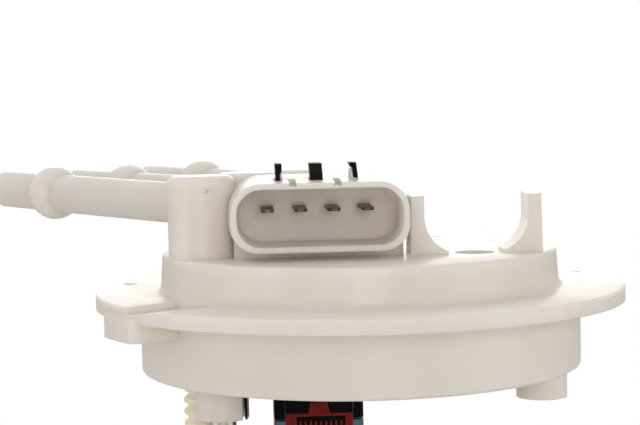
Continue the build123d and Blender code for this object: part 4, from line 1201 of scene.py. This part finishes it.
# ------------------------------------------------------------------ hoses, wires and springs
@dataclass
class Hose(Assembly):
    """A corrugated nylon hose with plain cuffs over its nipples."""

    node: str
    route: Sequence[Point]
    crest: float = 5.0
    valley: float = 3.8
    bore: float = 3.14
    pitch: float = 2.7
    cuff_start: float = 7.0
    cuff_end: float = 14.0
    held_above: float = -20.0
    held_below: float = -98.0

    def build(self) -> None:
        """Makes the hose along its route."""
        path = path_curve(metres(self.route), self.node + "_path")
        length = path.data.splines[0].calc_length() / MM
        ridges = int((length - self.cuff_start - self.cuff_end) / self.pitch)
        pitch = (length - self.cuff_start - self.cuff_end) / ridges
        tube = self.ridge(pitch)
        add_modifier(
            tube, "ARRAY", count=ridges, use_relative_offset=False, use_constant_offset=True,
            constant_offset_displace=(pitch * MM, 0, 0), use_merge_vertices=True, merge_threshold=1e-5,
        )
        pick(tube)
        bpy.ops.object.modifier_apply(modifier="Array")
        end = ridges * pitch
        self.cuff(tube, 0.0, -self.cuff_start)
        self.cuff(tube, end, self.cuff_end)
        tube.location = (self.cuff_start * MM, 0, 0)
        bpy.ops.object.transform_apply(location=True)
        add_modifier(tube, "SUBSURF", levels=1, render_levels=1)
        add_modifier(tube, "CURVE", object=path, deform_axis="POS_X")
        hose = settle(tube, self.node + "_corrugated", 60.0)
        bpy.data.objects.remove(path)
        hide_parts(self.node)
        self.wardrobe.stretch(hose, "hose", SLIDE, self.held_above, self.held_below)

    def ridge(self, pitch: float) -> Piece:
        """One corrugation along X, from crest to crest.

        Args:
            pitch: its length in millimetres.

        Returns:
            The corrugation, open at both ends.
        """
        clear_selection()
        bpy.ops.mesh.primitive_circle_add(vertices=24, radius=self.crest * MM)
        tube = bpy.context.object
        tube.rotation_euler = (0.0, math.pi / 2, 0.0)
        bpy.ops.object.transform_apply(rotation=True)
        edit_all()
        share = self.valley / self.crest
        for step, scale in ((0.22, 1.0), (0.2, share), (0.16, 1.0), (0.2, 1 / share), (0.22, 1.0)):
            move = {"value": (step * pitch * MM, 0, 0)}
            bpy.ops.mesh.extrude_edges_move(TRANSFORM_OT_translate=move)
            if scale != 1.0:
                bpy.ops.transform.resize(value=(1, scale, scale), center_override=(0, 0, 0))
        bpy.ops.object.mode_set(mode="OBJECT")
        return tube

    def cuff(self, tube: Piece, start: float, reach: float) -> None:
        """Draws an open end out into a plain cuff with a lip.

        Args:
            tube: the hose.
            start: where the end is, along X in millimetres.
            reach: how far the cuff goes from there.
        """
        select_where(tube, lambda spot: abs(spot.x - start * MM) < MERGE_GAP)
        bpy.ops.mesh.extrude_edges_move(TRANSFORM_OT_translate={"value": (reach * MM, 0, 0)})
        share = self.bore / self.crest
        bpy.ops.mesh.extrude_edges_move(TRANSFORM_OT_translate={"value": (0, 0, 0)})
        bpy.ops.transform.resize(value=(1, share, share), center_override=(0, 0, 0))
        inward = {"value": (-math.copysign(2.0, reach) * MM, 0, 0)}
        bpy.ops.mesh.extrude_edges_move(TRANSFORM_OT_translate=inward)
        bpy.ops.object.mode_set(mode="OBJECT")


@dataclass
class Leads(Assembly):
    """Insulated wires that hang in a slack curve to a plug below."""

    node: str
    routes: Sequence[Sequence[Point]]
    radius: float = 0.9
    held_above: float = -44.0
    held_below: float = -116.0

    def build(self) -> None:
        """Makes one wire for each route."""
        for number, route in enumerate(self.routes):
            curve = path_curve(metres(route), f"{self.node}_{number + 1}", self.radius * MM)
            wire = settle(curve, f"{self.node}_{number + 1}", 60.0)
            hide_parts(self.node)
            self.wardrobe.stretch(wire, "lead", SLIDE, self.held_above, self.held_below)


@dataclass
class CoilSpring(Assembly):
    """A compression spring with closed, ground ends."""

    node: str
    name: str
    place: Tuple[float, float]
    ends: Tuple[str, str] = SLIDE  # the bodies at its top and at its foot
    low: float = -112.9
    high: float = -30.1
    radius: float = 4.35
    wire: float = 0.6
    turns: float = 9.0
    seat: float = 1.5  # length of each end that does not shorten
    facets: int = 12  # points in each turn

    def build(self) -> None:
        """Winds the spring."""
        count = int((self.turns + 2.0) * self.facets)
        foot, head = self.low + self.wire, self.high - self.wire
        points: List[Point] = []
        for step in range(count + 1):
            turn = step / self.facets
            closed = 2.0 * self.wire / (head - foot)
            if turn < 1.0:
                share = turn * closed
            elif turn > self.turns + 1.0:
                share = 1.0 - (self.turns + 2.0 - turn) * closed
            else:
                share = closed + (turn - 1.0) / self.turns * (1.0 - 2.0 * closed)
            angle = 2.0 * math.pi * turn
            x = self.place[0] + self.radius * math.cos(angle)
            y = self.place[1] + self.radius * math.sin(angle)
            points.append((x, y, foot + share * (head - foot)))
        curve = path_curve(metres(points), self.name, self.wire * MM)
        curve.data.resolution_u = 3
        curve.data.bevel_resolution = 2
        spring = settle(curve, self.name, 60.0)
        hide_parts(self.node)
        top, foot = self.high - self.seat, self.low + self.seat
        self.wardrobe.stretch(spring, "spring_steel", self.ends, top, foot)


@dataclass
class SlackGoods(Assembly):
    """Everything that hangs between the flange and the reservoir."""

    feed: Tuple[Point, ...] = (
        (-37.0, -7.7, -9.0), (-37.0, -7.7, -20.0), (-37.0, -7.7, -30.0), (-35.0, -4.0, -48.0),
        (-22.0, 6.0, -62.0), (0.0, 6.0, -72.0), (15.0, -4.0, -78.0), (16.5, -6.0, -88.0),
        (16.5, -6.0, -97.0), (16.5, -6.0, -107.6),
    )
    back: Tuple[Point, ...] = (
        (-12.5, 14.0, -9.0), (-12.5, 14.0, -18.0), (-12.5, 14.0, -26.0), (-9.0, 19.0, -42.0),
        (-13.0, 23.0, -60.0), (-22.0, 18.0, -76.0), (-22.0, 16.0, -90.0), (-22.0, 16.0, -101.0),
        (-22.0, 16.0, -112.5),
    )
    rods: Tuple[Tuple[float, float], ...] = ((-32.9, -18.2), (-8.1, 38.7))
    header_x: float = -11.1
    header_y: float = -12.0
    leg_pitch: float = 4.4
    plug_bottom: float = -42.0
    pump: Tuple[float, float] = (0.0, -6.0)
    pump_plug_top: float = -119.0
    sender: Tuple[float, float] = (41.0, -9.0)
    sender_plug_top: float = -132.0

    def lead_route(
        self, number: int, sag: Sequence[Point], end: Tuple[float, float], straight: float, top: float
    ) -> List[Point]:
        """A lead's route, upright at the harness plug and at the plug below.

        Args:
            number: the lead, counted from -X.
            sag: the points that it hangs through.
            end: where it enters the plug below.
            straight: height from which it runs straight down into that plug.
            top: height of that plug's top.

        Returns:
            The route's points in millimetres.
        """
        start = (self.header_x + self.leg_pitch * (number - 1.5), self.header_y)
        upright = [(*start, self.plug_bottom + drop) for drop in (2.8, -2.0, -14.0)]
        return [*upright, *sag, (*end, straight), (*end, top - 2.2)]

    def build(self) -> None:
        """Makes the hoses, leads and springs."""
        Hose(self.wardrobe, "feed_hose", self.feed).build()
        Hose(self.wardrobe, "return_hose", self.back).build()
        pump_routes, sender_routes = [], []
        for number, side in ((2, -1.0), (3, 1.0)):
            sag = [(4.0 + 1.3 * side, -24.0, -80.0), (2.0 + side, -10.0 + 1.5 * side, -100.0)]
            end = (self.pump[0], self.pump[1] + 2.0 * side)
            pump_routes.append(self.lead_route(number, sag, end, -111.0, self.pump_plug_top))
        for number, side in ((0, -1.0), (1, 1.0)):
            sag = [
                (6.0, -30.0 + 1.4 * side, -78.0), (30.0 - side, -31.0 + 1.4 * side, -98.0),
                (42.0, -14.0 + 2.0 * side, -114.0),
            ]
            end = (self.sender[0], self.sender[1] + 2.0 * side)
            sender_routes.append(self.lead_route(number, sag, end, -124.0, self.sender_plug_top))
        Leads(self.wardrobe, "pump_leads", pump_routes).build()
        Leads(self.wardrobe, "sender_leads", sender_routes).build()
        for number, place in enumerate(self.rods):
            CoilSpring(self.wardrobe, "guide_springs", f"guide_spring_{number + 1}", place).build()
        self.small_spring("check_spring", ("reservoir", "check_valve"), 0.25, 4.0)
        self.small_spring("rollover_spring", ("valve_float", "flange"), 0.3, 3.0)

    def small_spring(self, node: str, ends: Tuple[str, str], wire: float, turns: float) -> None:
        """Winds a valve's spring in the space of its CAD node.

        Args:
            node: the node.
            ends: the bodies at its top and at its foot.
            wire: radius of its wire in millimetres.
            turns: its open turns.
        """
        low, high = (Vector(corner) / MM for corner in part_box(node))
        place = ((low.x + high.x) / 2, (low.y + high.y) / 2)
        radius = min(high.x - low.x, high.y - low.y) / 2 - wire
        CoilSpring(
            self.wardrobe, node, f"{node}_coil", place, ends, low.z, high.z, radius, wire, turns,
            3 * wire,
        ).build()


def main() -> None:
    """Builds the scene in order and reports each piece."""
    logging.basicConfig(level=logging.INFO, format="%(name)s: %(message)s")
    Studio().build()
    wardrobe = Wardrobe()
    wardrobe.dress_nodes()
    LOG.info("dressed %d CAD nodes", len(frame["nodes"]))
    Flange(wardrobe).build()
    LOG.info("the flange is one piece, with its moulding marks")
    IndexKeys(wardrobe).build()
    PlugDetails(wardrobe).build()
    LOG.info("the connector's keys and the plug's lock are finished")
    InletStrainer(wardrobe).build()
    HoseClamp(wardrobe, 1, (-22.0, 16.0), -109.5, -103.5).build()
    HoseClamp(wardrobe, 2, (16.5, -6.0), -105.0, -99.0).build()
    LOG.info("the strainer and the hose clamps are finished")
    SlackGoods(wardrobe).build()
    LOG.info("hoses, leads and springs are in place")


if __name__ == "__main__":
    main()
